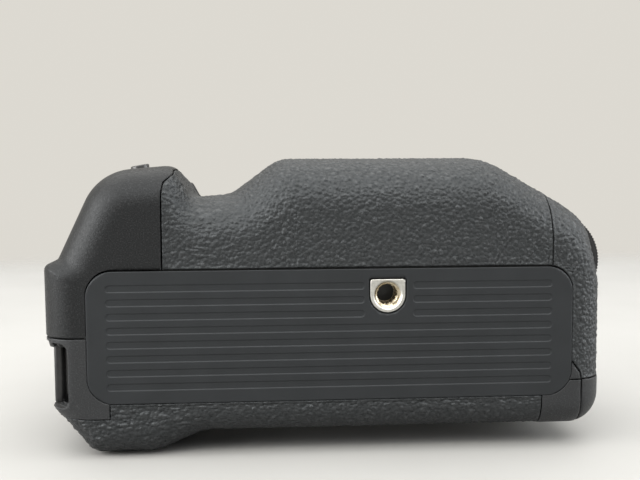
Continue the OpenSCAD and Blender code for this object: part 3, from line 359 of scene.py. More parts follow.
warm_bore = new_finish("warm_threaded_nickel", (0.42, 0.36, 0.26), 0.26, metallic=1.0)
mottle(warm_bore, noise_of(warm_bore, 0.9, 3), [(0.3, (0.34, 0.29, 0.20)), (0.7, (0.48, 0.42, 0.32))])
mottle(warm_bore, noise_of(warm_bore, 0.5, 3), [(0.3, (0.18,) * 3), (0.7, (0.34,) * 3)], "Roughness")

alloy = new_finish("blasted_alloy", (0.58, 0.59, 0.61), 0.42, metallic=1.0)
mottle(alloy, noise_of(alloy, 2, 4), [(0.3, (0.52, 0.53, 0.55)), (0.7, (0.63, 0.64, 0.66))])
relief(alloy, noise_of(alloy, 0.25, 2), 0.02, 0.5)

gold = new_finish("gold_contact", (0.78, 0.57, 0.22), 0.25, metallic=1.0)
mottle(gold, noise_of(gold, 1.2, 4), [(0.3, (0.70, 0.50, 0.18)), (0.7, (0.84, 0.63, 0.27))])

# %% [markdown]
# The rest are rubber, plastics and boards. They could share one black, but each has its own shine and tooth
# on the real thing, and a close look at the buttons or into the battery bay shows it.

# %% Finishes of rubber, plastics and boards
rubber = new_finish("soft_black_rubber", grey(0.018), 0.72, specular=0.3)
mottle(rubber, noise_of(rubber, 1.2, 4), [(0.3, grey(0.014)), (0.7, grey(0.023))])
relief(rubber, noise_of(rubber, 0.4, 3), 0.03, 0.5)

satin = new_finish("satin_black_plastic", grey(0.022), 0.32, specular=0.5)
mottle(satin, noise_of(satin, 3, 4), [(0.3, grey(0.018)), (0.7, grey(0.027))])
relief(satin, noise_of(satin, 0.3, 2), 0.012, 0.5)

smooth_moulding = new_finish("smooth_black_moulding", grey(0.030), 0.48, specular=0.4)
mottle(smooth_moulding, noise_of(smooth_moulding, 5, 4), [(0.3, grey(0.026)), (0.7, grey(0.035))])
relief(smooth_moulding, noise_of(smooth_moulding, 0.5, 2), 0.02, 0.4)

black_paint = new_finish("black_painted_steel", grey(0.014), 0.38, specular=0.4)
mottle(black_paint, noise_of(black_paint, 1.5, 4), [(0.3, grey(0.010)), (0.7, grey(0.020))])
relief(black_paint, noise_of(black_paint, 0.4, 2), 0.015, 0.5)

acetal = new_finish("natural_acetal", (0.70, 0.62, 0.44), 0.42, specular=0.4)
mottle(acetal, noise_of(acetal, 3, 3), [(0.3, (0.66, 0.58, 0.40)), (0.7, (0.74, 0.67, 0.49))])

solder_mask = new_finish("green_solder_mask", (0.02, 0.13, 0.06), 0.35, specular=0.5)
mottle(solder_mask, noise_of(solder_mask, 1.0, 5, (1, 1, 4)),
       [(0.42, (0.015, 0.10, 0.045)), (0.58, (0.03, 0.18, 0.08))])
print("finishes:", [m.name for m in bpy.data.materials if m.use_nodes])

# %% [markdown]
# The body is a rounded outline, seen from the base, that rolls over into the base and draws back towards the
# camera. Each corner gives its place, its rounding, and the roll and draw of the side that follows. A
# subdivided cage could be pulled into the same form, but a loft keeps every radius as a number and lines up
# with the solids to a hair.

# %% Outline of the body
plate_low, plate_high = box_mm("base_plate")
seat_low, seat_high = box_mm("seat_plate")
BODY_HEIGHT = seat_high[1]
SEAT_Y = seat_low[1]
DRAW_FROM = 16.0
SHARPEST = 0.6
HOLLOW_GROW = 0.4
COLUMNS = ("x", "z", "radius", "roll", "draw")
corners = [dict(zip(COLUMNS, row)) for row in (
    (57.0, -35.2, 8.5, 9.0, 0.0),
    (57.0, 16.8, 20.0, 11.0, 4.0),
    (26.4, 34.5, 18.0, 13.0, 9.0),
    (-27.0, 34.5, 9.0, 13.0, 7.0),
    (-39.5, 25.4, 8.0, 12.0, 3.0),
    (-49.2, 24.6, 4.0, 8.0, 0.6),
    (-53.6, 32.8, 4.0, 10.0, 5.0),
    (-72.6, 31.2, 14.0, 10.0, 3.0),
    (-83.2, 9.1, 1.5, 7.0, 0.0),
    (-86.4, 7.6, 2.0, 8.5, 0.0),
    (-86.2, -26.4, 10.0, 8.0, 0.0),
    (-74.8, -40.6, 6.0, 8.0, 0.0),
    (-58.3, -40.6, 14.0, 8.0, 0.0),
    (-46.3, -35.2, 14.0, 7.0, 0.0),
)]
COUNT = len(corners)
HUMP_SLOPE = 7
TOP_ROLL = max(c["roll"] for c in corners)


def at(i):
    return corners[i % COUNT]


def along(i):
    step = np.array([at(i + 1)["x"] - at(i)["x"], at(i + 1)["z"] - at(i)["z"]])
    return step / np.linalg.norm(step)


def heading(i):
    return math.atan2(along(i)[1], along(i)[0])


def bend(i):
    return (heading(i) - heading(i - 1) + math.pi) % (2 * math.pi) - math.pi


def set_in(i, y, under):
    """How far side i lies inside the outline at height y, for a surface that lies under the outer one."""
    roll = at(i)["roll"]
    rolled = under if y >= roll else roll - math.sqrt(max((roll - under) ** 2 - (roll - y) ** 2, 0))
    part = min(max((y - DRAW_FROM) / (BODY_HEIGHT - DRAW_FROM), 0), 1)
    return rolled + at(i)["draw"] * part * part * (3 - 2 * part)


def corner_arc(i, y, under):
    """Centre, signed radius and start angle of corner i at height y."""
    a, b = set_in(i - 1, y, under), set_in(i, y, under)
    sign = 1.0 if bend(i) > 0 else -1.0
    depth = (a + b) / 2
    radius = max(at(i)["radius"] - depth, SHARPEST) if sign > 0 else at(i)["radius"] + HOLLOW_GROW * depth
    n = np.array([-along(i - 1)[1], along(i - 1)[0]])
    m = np.array([-along(i)[1], along(i)[0]])
    a, b = a + sign * radius, b + sign * radius
    k = n[0] * m[1] - n[1] * m[0]
    centre = np.array([at(i)["x"] + (a * m[1] - b * n[1]) / k, at(i)["z"] + (b * n[0] - a * m[0]) / k])
    return centre, sign * radius, heading(i - 1) - math.pi / 2


def ring(y, under, counts):
    """One closed row of points round the body at height y."""
    points = []
    for i in range(COUNT):
        centre, radius, start = corner_arc(i, y, under)
        arc_n, side_n = counts[i]
        for k in range(arc_n + 1):
            w = start + bend(i) * k / arc_n
            points.append(centre + radius * np.array([math.cos(w), math.sin(w)]))
        after, next_radius, next_start = corner_arc(i + 1, y, under)
        end = after + next_radius * np.array([math.cos(next_start), math.sin(next_start)])
        first = points[-1]
        points += [first + (end - first) * k / side_n for k in range(1, side_n)]
    return np.array(points)


def ring_counts(step):
    counts = []
    for i in range(COUNT):
        _, radius, _ = corner_arc(i, TOP_ROLL, 0)
        arc_n = max(4, math.ceil(abs(radius * bend(i)) / step))
        length = math.hypot(at(i + 1)["x"] - at(i)["x"], at(i + 1)["z"] - at(i)["z"])
        counts.append((arc_n, max(3, math.ceil(length / step * 0.9))))
    return counts


print("corners:", COUNT, "height:", round(BODY_HEIGHT, 2), "seat at:", round(SEAT_Y, 2))

# %% [markdown]
# The surface is a grid: rows run round the body, from the plate's edge over the flat of the base, round the
# roll and up to the seat. Keeping it a grid makes even quads, which displace well. Its spacing is set by how
# fine the grain is.

# %% Grid of the body's surface
SEAM = 0.25
PLATE_SEAM = 0.06
UPPER_SEAM = 0.26
PLATE_CORNER = 6.5


def plate_edge(points, grow):
    """The nearest points on the plate's rounded outline, grown by a gap."""
    low = np.array([plate_low[0] + PLATE_CORNER, plate_low[2] + PLATE_CORNER])
    high = np.array([plate_high[0] - PLATE_CORNER, plate_high[2] - PLATE_CORNER])
    core = np.clip(points, low, high)
    out = points - core
    upper = np.clip(out[:, 1] / PLATE_CORNER, 0, 1)
    reach = PLATE_CORNER + grow + UPPER_SEAM * upper
    return core + out / np.linalg.norm(out, axis=1)[:, None] * reach[:, None]


SCOOP = dict(depth=1.0, middle=9.0, half=8.5, starts=1.0, rise=3.5, ends=32.0, fall=6.0, side=40.0)
SCOOP_WAY = np.array([1.0, 0.0, 0.15])


def eased(part):
    part = np.clip(part, 0, 1)
    return part ** 2 * (3 - 2 * part)


def wheel_scoop(points):
    """Presses in the corner round the lock wheel, so that a thumb finds its edge."""
    x, y, z = points.T
    across_it = np.clip(1 - ((z - SCOOP["middle"]) / SCOOP["half"]) ** 2, 0, 1) ** 2
    along_it = eased((y - SCOOP["starts"]) / SCOOP["rise"]) * eased((SCOOP["ends"] - y) / SCOOP["fall"])
    depth = SCOOP["depth"] * across_it * along_it * (x > SCOOP["side"])
    return points - depth[:, None] * SCOOP_WAY


def body_grid(step, under=0.0, flat=True):
    counts = ring_counts(step)
    rows = []
    first = ring(under, under, counts)
    if flat:
        inner = plate_edge(first, PLATE_SEAM)
        flat_n = math.ceil(12 / step)
        for k in range(flat_n):
            row = inner + (first - inner) * k / flat_n
            rows.append(np.column_stack([row[:, 0], np.full(len(row), under), row[:, 1]]))
    roll_n = math.ceil(TOP_ROLL * math.pi / 2 / step)
    for k in range(roll_n):
        y = under + (TOP_ROLL - under) * (1 - math.cos(math.pi / 2 * k / roll_n))
        row = ring(y, under, counts)
        rows.append(np.column_stack([row[:, 0], np.full(len(row), y), row[:, 1]]))
    rise_n = math.ceil((SEAT_Y - TOP_ROLL) / step)
    for k in range(rise_n + 1):
        y = TOP_ROLL + (SEAT_Y - TOP_ROLL) * k / rise_n
        row = ring(y, under, counts)
        rows.append(np.column_stack([row[:, 0], np.full(len(row), y), row[:, 1]]))
    points = wheel_scoop(np.concatenate(rows))
    width = len(first)
    j = np.arange(width)
    quads = []
    for k in range(len(rows) - 1):
        a, b = k * width + j, k * width + (j + 1) % width
        quads.append(np.column_stack([a, a + width, b + width, b]))
    return points, np.concatenate(quads)


FINE_STEP = 0.38
PLAIN_STEP = 0.7
fine_points, fine_quads = body_grid(FINE_STEP)
plain_points, plain_quads = body_grid(PLAIN_STEP)
lining_points, lining_quads = body_grid(1.6, under=0.8)
print("grid quads:", len(fine_quads), len(plain_quads), len(lining_quads))

# %% [markdown]
# A cover is the part of that surface inside its own outline. Deleting whole faces would leave a saw-tooth
# edge, so the grid is sliced along each seam first. Two more slices beside the seam give the points that
# round its edge.

# %% Slices along the seams
EDGE_ROUND = 0.4
PLAIN_ROUND = 0.22
EDGE_SLICES = (0.0, 0.12, 0.3)


def seam_line(p, q):
    """A slice through the seam from p to q in the base's plane; its left side is kept."""
    way = np.array(q, float) - np.array(p, float)
    left = np.array([-way[1], way[0]]) / np.linalg.norm(way)
    return (p[0], 0.0, p[1]), (left[0], 0.0, left[1])


def level(y, sign):
    return (0.0, y, 0.0), (0.0, sign, 0.0)


def upright(x, sign):
    return (x, 0.0, 0.0), (sign, 0.0, 0.0)


def across(z, sign):
    return (0.0, 0.0, z), (0.0, 0.0, sign)


# %% [markdown]
# The knife itself is bmesh's plane bisect, run for every slice before anything is deleted. Round holes are
# different: a few straight cuts would make a polygon, so their ragged rim is pulled onto the circle
# afterwards.

# %% Cutting a cover out of the surface
HOLE_DEPTH = 6.0


def pull_round(bm, spot, way, radius, reach=0.8):
    """Pulls the ragged rim of a round hole onto its circle."""
    for v in bm.verts:
        if not v.is_boundary:
            continue
        rel = np.array(v.co) - spot
        high = rel @ way
        flat = rel - high * way
        far = np.linalg.norm(flat)
        if abs(far - radius) < reach and abs(high) < HOLE_DEPTH:
            v.co = Vector(spot + high * way + flat / far * radius)


def cut_cover(points, quads, slices, keep, margin=1.5, rounds=()):
    """Points and faces of the part of a grid that keep() wants, sliced along its seams."""
    middle = points[quads].mean(1)
    near = np.zeros(len(quads), bool)
    for dx in (-margin, 0, margin):
        for dy in (-margin, 0, margin):
            for dz in (-margin, 0, margin):
                near |= keep(middle + np.array([dx, dy, dz]))
    used, index = np.unique(quads[near], return_inverse=True)
    mesh = bpy.data.meshes.new("cut")
    mesh.from_pydata(points[used].tolist(), [], index.reshape(-1, 4).tolist())
    bm = bmesh.new()
    bm.from_mesh(mesh)
    bpy.data.meshes.remove(mesh)
    for place, way, *reach in slices:
        for offset in EDGE_SLICES:
            spot = Vector(place) + Vector(way) * offset
            faces = bm.faces[:]
            if reach:
                low, high = reach[0]
                faces = [f for f in faces if low[0] < f.verts[0].co.x < high[0]
                         and low[1] < f.verts[0].co.z < high[1]]
            edges = list({e for f in faces for e in f.edges})
            verts = list({v for e in edges for v in e.verts})
            bmesh.ops.bisect_plane(bm, geom=verts + edges + faces, dist=0.01, plane_co=spot, plane_no=Vector(way))
    centres = np.array([f.calc_center_median() for f in bm.faces])
    wanted = keep(centres)
    bmesh.ops.delete(bm, geom=[f for f, w in zip(bm.faces[:], wanted) if not w], context="FACES")
    for spot, way, radius in rounds:
        pull_round(bm, np.array(spot), np.array(way), radius)
    return bm


# %% [markdown]
# A cover's edge is rounded by sinking the points near it, which needs the distance to the open edge. A Bevel
# modifier could round it too, but it would also bevel every crease of the grain. Against three sides of the
# base plate the real covers lie almost closed, so there the rounding is smaller.

# %% Finishing a cover
EDGE_REACH = 2.0
CLOSE_FIT = dict(within=0.45, flat_below=0.5, under_top=1.5, share=0.25)


def edge_distance(bm, limit):
    """How far each point lies from the nearest open edge, up to a limit."""
    rim = [e for e in bm.edges if e.is_boundary]
    tree = KDTree(3 * len(rim))
    for k, e in enumerate(rim):
        a, b = e.verts[0].co, e.verts[1].co
        for j, spot in enumerate((a, (a + b) / 2, b)):
            tree.insert(spot, 3 * k + j)
    tree.balance()
    far = [tree.find(v.co)[2] for v in bm.verts]
    return np.minimum(np.array(far), limit)


def finish_cover(name, bm, depth, thickness, body, finish, grain=None):
    """Rounds the rim, presses the surface in by depth, gives it a thickness and hangs it on its body."""
    bm.normal_update()
    for k, v in enumerate(bm.verts):
        v.co -= v.normal * depth[k]
    mesh = bpy.data.meshes.new(name)
    bm.to_mesh(mesh)
    bm.free()
    mesh.transform(Matrix.Scale(MM, 4))
    if grain is not None:
        mesh.attributes.new("grain", "FLOAT", "POINT").data.foreach_set("value", grain.astype(np.float32))
    mesh.shade_smooth()
    mesh.materials.append(finish)
    cover = bpy.data.objects.new(name, mesh)
    scene.collection.objects.link(cover)
    wall = cover.modifiers.new("thickness", "SOLIDIFY")
    wall.thickness = thickness * MM
    wall.offset = -1.0
    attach(cover, body)
    print(name, "faces:", len(mesh.polygons))
    return cover


def close_to_plate(bm):
    """1 for points away from the plate, less for those that lie close against its left, lower and right edges."""
    p = np.array([v.co for v in bm.verts])
    flat = p[:, [0, 2]]
    edge = plate_edge(flat + 1e-6, PLATE_SEAM)
    near = np.linalg.norm(edge - flat, axis=1) < CLOSE_FIT["within"]
    near &= (p[:, 1] < CLOSE_FIT["flat_below"]) & (p[:, 2] < plate_high[2] - CLOSE_FIT["under_top"])
    return np.where(near, CLOSE_FIT["share"], 1.0)


def rim_round(distance, radius=EDGE_ROUND):
    inside = np.clip(radius - distance, 0, radius)
    return radius - np.sqrt(radius ** 2 - inside ** 2)

# %% [markdown]
# Leather-like grain is a mosaic of small pebbles with creases between them. A noise texture could fake it in
# the shader, but then it would vanish at the outline. Here each point finds its two nearest seeds in a
# jittered lattice: where both are equally near, a crease runs. The lattice is bent a little first, so that no
# rows show.

# %% Pebble grain
def scatter(cell):
    """A repeatable random point inside each lattice cell."""
    mixed = (cell[..., 0] * 73856093) ^ (cell[..., 1] * 19349663) ^ (cell[..., 2] * 83492791) ^ SEED
    spots = []
    for k in range(3):
        mixed = (mixed * 1103515245 + 12345 + k * 97) & 0x7FFFFFFF
        spots.append(((mixed >> 8) & 0xFFFF) / 65535.0)
    return np.stack(spots, -1)


def pebbles(points, size):
    """Distance to the crease between the two nearest seeds, in parts of the pebble size."""
    p = points / size
    base = np.floor(p).astype(np.int64)
    nearest = np.full((2, len(p)), 9.0)
    for dx in (-1, 0, 1):
        for dy in (-1, 0, 1):
            for dz in (-1, 0, 1):
                cell = base + np.array([dx, dy, dz])
                d = np.linalg.norm(cell + scatter(cell) - p, axis=1)
                nearest[1] = np.minimum(nearest[1], np.maximum(nearest[0], d))
                nearest[0] = np.minimum(nearest[0], d)
    return nearest[1] - nearest[0]


def waves(points, size):
    """A slow, smooth wander between -1 and 1."""
    p = points / size * 2 * math.pi
    x, y, z = p.T
    return (np.sin(x + 1.3 * np.sin(0.7 * z + 1.1)) + np.sin(1.1 * z + 1.7 * np.sin(0.6 * x + y))
            + np.sin(0.9 * y + 1.2 * np.sin(0.8 * x - 0.5 * z))) / 3


def bent(points, size, amount):
    return points + amount * np.stack([waves(points, size), waves(points[:, [1, 2, 0]] + 5, size),
                                       waves(points[:, [2, 0, 1]] + 11, size)], 1)


PEBBLE = 1.3
GRAIN_DEPTH = 0.45
GRAIN_FADE = 0.8
STRETCHED_FROM, STRETCHED_TO = -30.0, -48.0


def pebble_height(points):
    """Rounded pebbles of two sizes on a slow swell."""
    large = np.clip(pebbles(bent(points, 6.0, 0.8), PEBBLE) / 0.55, 0, 1)
    small = np.clip(pebbles(bent(points + 31, 4.0, 0.5), PEBBLE * 0.55) / 0.6, 0, 1)
    swell = 0.5 + 0.5 * waves(points, 2.3)
    return 0.55 * large + 0.25 * small + 0.20 * swell


def leather_grain(points):
    """0 in a crease, 1 on a pebble; beside the hump the pebbles are pulled into long wrinkles."""
    pulled = np.clip((points[:, 0] - STRETCHED_FROM) / (STRETCHED_TO - STRETCHED_FROM), 0, 1)
    even = pebble_height(points)
    wrinkled = pebble_height(points * np.array([0.42, 1.0, 1.1]))
    return even + (wrinkled - even) * pulled

# %% [markdown]
# Where the covers meet was read off the photograph: one seam down the hump, one down the wheel end, and a jog
# round the plate's corner. All of them run straight from the base towards the camera, so a line in the base's
# plane is enough.

# %% Seams
FAR = 300.0
HUMP_SEAM = -56.2
hump_seam = [(HUMP_SEAM, -60.0), (HUMP_SEAM, 26.0), (-55.7, 28.7), (-53.4, 30.6), (-53.2, 60.0)]
HUMP_REACH, REACH_MARGIN = (-62.0, -46.0), 0.6
HEEL_SEAM = -9.9
CAP_SEAM = plate_high[0] - 5.2
CAP_STEP_Y = 16.8
CAP_STEP_Z = -6.6
SKIN_LOW = -22.6
THUMB_SKIN = (-69.5, -30.4)
CORNER_SKIN = plate_high[0] - 7.7
cap_jog = [(plate_high[0] + 0.3, -17.8), (plate_high[0] + 2.5, -20.6), (plate_high[0] + 3.0, -22.9),
           (plate_high[0] + 2.7, -FAR)]
GAP = SEAM / 2


def inside(outline, points):
    """Which points lie inside an outline in the base's plane."""
    x, z = points[:, 0], points[:, 2]
    hit = np.zeros(len(points), bool)
    for (x0, z0), (x1, z1) in zip(outline, outline[1:] + outline[:1]):
        cross = (z0 > z) != (z1 > z)
        with np.errstate(divide="ignore", invalid="ignore"):
            hit ^= cross & (x < x0 + (z - z0) / (z1 - z0) * (x1 - x0))
    return hit


def seam_x(z, side):
    """Where the hump's seam runs at height z, for the cover on its left (-1) or right (1)."""
    return np.interp(z, [q[1] for q in hump_seam], [q[0] for q in hump_seam]) + side * GAP


def hump_slices(side):
    found = []
    for (x0, z0), (x1, z1) in zip(hump_seam, hump_seam[1:]):
        ends = [(x0 + side * GAP, z0), (x1 + side * GAP, z1)]
        place, way = seam_line(*(ends if side < 0 else ends[::-1]))
        low, high = (HUMP_REACH[0], z0 - REACH_MARGIN), (HUMP_REACH[1], z1 + REACH_MARGIN)
        found.append((place, way, (low, high)))
    return found


jog_left = [(x - SEAM, z - SEAM) for x, z in cap_jog]
cap_outline = [(FAR, FAR), (CAP_SEAM + GAP, FAR), (CAP_SEAM + GAP, cap_jog[0][1])] + cap_jog + [(FAR, -FAR)]
rear_outline = [(-FAR, -FAR), jog_left[3], jog_left[2], jog_left[1], jog_left[0],
                (0.0, jog_left[0][1]), (0.0, HEEL_SEAM - GAP), (-FAR, HEEL_SEAM - GAP)]
jog_slices = [seam_line(cap_jog[k + 1], cap_jog[k]) for k in (0, 1, 2)]
jog_back = [seam_line(jog_left[k], jog_left[k + 1]) for k in (0, 1, 2)]

# %% [markdown]
# The front covering wraps the finger bulge and the valley beside the hump, and reaches round the wheel end
# above the end cap. A window in it lets the lock wheel through.

# %% Front covering
wheel_low = box_mm("lock_wheel")[0]
WHEEL_WINDOW = dict(z=(-4.3, 18.2), y=wheel_low[1] + 7.5)
WHEEL_END = 50.0
SKIN = 0.75


def keep_front(p):
    x, y, z = p.T
    main = (x > seam_x(z, 1)) & (x < CAP_SEAM - GAP) & (z > 0)
    end = (x >= CAP_SEAM - GAP) & (y > CAP_STEP_Y + GAP) & (z > CAP_STEP_Z + GAP)
    low_z, high_z = WHEEL_WINDOW["z"]
    window = (x > WHEEL_END) & (z > low_z) & (z < high_z) & (y < WHEEL_WINDOW["y"])
    return (main | end) & ~window


front_slices = hump_slices(1) + [upright(CAP_SEAM - GAP, -1), level(CAP_STEP_Y + GAP, 1),
                across(CAP_STEP_Z + GAP, 1), level(WHEEL_WINDOW["y"], 1),
                across(WHEEL_WINDOW["z"][0], -1), across(WHEEL_WINDOW["z"][1], 1)]


def leather_cover(name, slices, keep, body, *stands_for, rounds=()):
    bm = cut_cover(fine_points, fine_quads, slices, keep, rounds=rounds)
    spots = np.array([v.co for v in bm.verts])
    distance = edge_distance(bm, EDGE_REACH)
    grain = leather_grain(spots)
    fade = np.clip(distance / GRAIN_FADE, 0, 1)
    depth = rim_round(distance) + GRAIN_DEPTH * (1 - grain) * fade
    cover = finish_cover(name, bm, depth, SKIN, body, leather, grain)
    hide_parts(*stands_for)
    return cover


leather_cover("front_covering", front_slices, keep_front, "grip", "front_grip_skin")

# %% [markdown]
# The rear covering wraps the rear side and the thumb rest. The panel with the rear controls looks out through
# a window in it.

# %% Rear covering
panel_low, panel_high = box_mm("rear_panel")
PANEL_GAP = 0.25
PANEL_SIDE = -38.0


def in_panel_window(p):
    x, y, z = p.T
    return ((x > panel_low[0] - PANEL_GAP) & (x < panel_high[0] + PANEL_GAP) & (y > panel_low[1] - PANEL_GAP)
            & (y < panel_high[1] + PANEL_GAP) & (z < PANEL_SIDE))


def keep_rear_skin(p):
    x, y, z = p.T
    grained = (x < CORNER_SKIN) & ((x > THUMB_SKIN[0]) | (z < THUMB_SKIN[1]))
    return inside(rear_outline, p) & grained & (z < 0) & ~in_panel_window(p)


panel_slices = [upright(panel_low[0] - PANEL_GAP, -1), upright(panel_high[0] + PANEL_GAP, 1),
                level(panel_low[1] - PANEL_GAP, -1), level(panel_high[1] + PANEL_GAP, 1)]
rear_slices = [upright(CORNER_SKIN, -1), upright(THUMB_SKIN[0], 1), across(THUMB_SKIN[1], -1)] + panel_slices
leather_cover("rear_covering", rear_slices, keep_rear_skin, "grip", "rear_grip_skin")

# %% [markdown]
# The end cap closes the battery magazine and slides out with it. Its upper part is grained, its lower edge is
# plain.

# %% End cap covering
knob_low, knob_high = box_mm("latch_knob")
knob_mid = (knob_low + knob_high) / 2
KNOB_WINDOW = (knob_high[1] - knob_low[1]) / 2 + 0.3
SEAT_GAP = 0.3


def in_cap(p):
    x, y, z = p.T
    return inside(cap_outline, p) & ((y < CAP_STEP_Y - GAP) | (z < CAP_STEP_Z - GAP)) & (y < SEAT_Y - SEAT_GAP)


def near_knob(p, radius):
    return (p[:, 0] > WHEEL_END) & (np.hypot(p[:, 1] - knob_mid[1], p[:, 2] - knob_mid[2]) < radius)


def keep_cap_skin(p):
    return in_cap(p) & (p[:, 2] > SKIN_LOW + GAP) & ~near_knob(p, KNOB_WINDOW)


cap_slices = [upright(CAP_SEAM + GAP, 1), level(CAP_STEP_Y - GAP, -1), across(CAP_STEP_Z - GAP, -1),
              level(SEAT_Y - SEAT_GAP, -1)] + jog_slices
leather_cover("end_cap_covering", cap_slices + [across(SKIN_LOW + GAP, 1)], keep_cap_skin, "magazine",
              "end_cap_skin", rounds=[(knob_mid, (1.0, 0.0, 0.0), KNOB_WINDOW)])

# %% [markdown]
# The hump and the short end beside it are one plain moulding. Holes in it let the shutter button, the
# function button and the control dial through.

# %% Shutter housing
SHELL = 2.6
slope_way = np.array([along(HUMP_SLOPE)[0], 0.0, along(HUMP_SLOPE)[1]])
dial_low, dial_high = box_mm("control_dial")
dial_mid = (dial_low + dial_high) / 2
DIAL_SLOT = dict(half=3.6, y=7.1)
SHUTTER_WELL = 6.8
FUNCTION_HOLE = 2.75
shutter_low, shutter_high = box_mm("shutter_button")
SHUTTER_Y = (shutter_low[1] + shutter_high[1]) / 2
shutter_centre, shutter_radius, shutter_start = corner_arc(HUMP_SLOPE, SHUTTER_Y, 0)
mid_angle = shutter_start + bend(HUMP_SLOPE) / 2
shutter_out = np.array([math.cos(mid_angle), 0.0, math.sin(mid_angle)])
shutter_spot = np.array([shutter_centre[0], SHUTTER_Y, shutter_centre[1]]) + shutter_radius * shutter_out
function_low, function_high = box_mm("function_button")
function_mid = (function_low + function_high) / 2
top_way = np.array([along(HUMP_SLOPE - 1)[0], 0.0, along(HUMP_SLOPE - 1)[1]])
top_out = np.array([top_way[2], 0.0, -top_way[0]])


def off_axis(p, spot, way):
    rel = p - spot
    return np.linalg.norm(rel - np.outer(rel @ way, way), axis=1)


def keep_housing(p):
    x, y, z = p.T
    zone = (x < seam_x(z, -1)) & (z > HEEL_SEAM + GAP)
    slot = ((np.abs((p - dial_mid) @ slope_way) < DIAL_SLOT["half"]) & (np.abs(y - dial_mid[1]) < DIAL_SLOT["y"])
            & (np.linalg.norm(p - dial_mid, axis=1) < 12))
    bore = off_axis(p, shutter_spot, shutter_out) < SHUTTER_WELL
    hole = (off_axis(p, function_mid, top_out) < FUNCTION_HOLE) & (z > 25)
    return zone & ~slot & ~bore & ~hole


slot_slices = [(tuple(dial_mid + slope_way * s * DIAL_SLOT["half"]), tuple(slope_way * s)) for s in (-1, 1)]
slot_slices += [level(dial_mid[1] + s * DIAL_SLOT["y"], s) for s in (-1, 1)]


def plain_cover(name, slices, keep, thickness, body, finish=moulding, rounds=(), shape=None):
    bm = cut_cover(plain_points, plain_quads, slices, keep, rounds=rounds)
    if shape:
        shape(bm)
    distance = edge_distance(bm, EDGE_REACH)
    cover = finish_cover(name, bm, rim_round(distance, PLAIN_ROUND) * close_to_plate(bm), thickness, body, finish)
    return cover


housing = plain_cover("hump_moulding", hump_slices(-1) + [across(HEEL_SEAM + GAP, 1)] + slot_slices, keep_housing,
                      SHELL, "grip", rounds=[(shutter_spot, shutter_out, SHUTTER_WELL),
                                             (function_mid, top_out, FUNCTION_HOLE)])
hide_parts("shutter_housing")

# %% [markdown]
# The shutter button stands in a round seat with a neck that the power lever turns on, and the little function
# button has a dished top that falls to one side. All of them are turned forms: a row of radii and heights
# spun round an axis. A screw modifier would spin the row too, but doing it here leaves the top free to be
# tilted.

# %% Turned pieces of the hump
def solid_piece(name, points, faces, body, finish, sharp=35):
    """A closed mesh from points in millimetres, with smooth faces and crisp edges, hung on its body."""
    mesh = bpy.data.meshes.new(name)
    mesh.from_pydata([tuple(p) for p in points], [], faces)
    bm = bmesh.new()
    bm.from_mesh(mesh)
    bmesh.ops.remove_doubles(bm, verts=bm.verts[:], dist=0.0005)
    bmesh.ops.dissolve_degenerate(bm, edges=bm.edges[:], dist=0.0002)
    bmesh.ops.recalc_face_normals(bm, faces=bm.faces[:])
    bm.to_mesh(mesh)
    bm.free()
    mesh.transform(Matrix.Scale(MM, 4))
    mesh.shade_smooth()
    mesh.set_sharp_from_angle(angle=math.radians(sharp))
    mesh.materials.append(finish)
    piece = bpy.data.objects.new(name, mesh)
    scene.collection.objects.link(piece)
    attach(piece, body)
    print(name, "faces:", len(mesh.polygons))
    return piece


def turned(name, profile, spot, way, body, finish, steps=72, fall=0.0):
    """Spins a closed row of (radius, height) round an axis; fall lowers the top towards -X."""
    way = np.array(way) / np.linalg.norm(way)
    over = np.array([0.0, 1.0, 0.0]) if abs(way[1]) < 0.9 else np.array([1.0, 0.0, 0.0])
    over = over - (over @ way) * way
    over /= np.linalg.norm(over)
    side = np.cross(over, way)
    n = len(profile)
    points, faces = [], []
    for k in range(steps):
        w = 2 * math.pi * k / steps
        out = side * math.cos(w) + over * math.sin(w)
        for r, h in profile:
            drop = fall * (1 - math.cos(w) * r / profile[1][0] * np.sign(side[0])) if h > 0 else 0
            points.append(np.array(spot) + out * r + way * (h - drop))
        for j in range(n):
            a, b = k * n + j, k * n + (j + 1) % n
            c, d = (k + 1) % steps * n + (j + 1) % n, (k + 1) % steps * n + j
            faces.append((a, b, c, d))
    return solid_piece(name, points, faces, body, finish)


turned("shutter_seat", [(4.25, -3.4), (7.1, -3.4), (7.1, -0.25), (7.0, -0.07), (6.8, 0.0), (4.98, 0.0), (4.98, 1.4),
                        (4.9, 1.55), (4.7, 1.6), (4.45, 1.55), (4.25, 1.4)],
       shutter_spot, shutter_out, "grip", moulding)
FUNCTION_RISE = 1.2
function_foot = function_mid + top_out * FUNCTION_RISE
function_profile = [(0.0, -3.5), (2.45, -3.5), (2.45, 0.75), (2.38, 0.98), (2.2, 1.12), (1.9, 1.16), (1.2, 1.02),
                    (0.0, 0.95)]
function_cap = turned("function_cap", function_profile, function_foot, top_out, "function", satin, fall=0.22)
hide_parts("function_button")

# %% [markdown]
# The rear casing shows at the strap eye and at the plate's lower right corner; everywhere else the covering
# hides it. The window of the eye could be a boolean with a rounded block. Slicing keeps the grid clean, and
# its two inner corners are pulled onto their curve in the same way as the round holes.

# %% Rear casing
STRAP = dict(mouth=-79.7, back=-77.6, z=(-27.8, -11.2), y=(2.8, 17.8))
STRAP_ROUND, STRAP_PULL = 2.4, 0.9
SLIT_FROM = plate_high[0] - 1.0
SLIT_REACH = ((44.0, -28.0), (56.0, -17.0))
strap_turns = [(STRAP["mouth"] - STRAP_ROUND, STRAP["z"][0] + STRAP_ROUND, -1),
               (STRAP["mouth"] - STRAP_ROUND, STRAP["z"][1] - STRAP_ROUND, 1)]


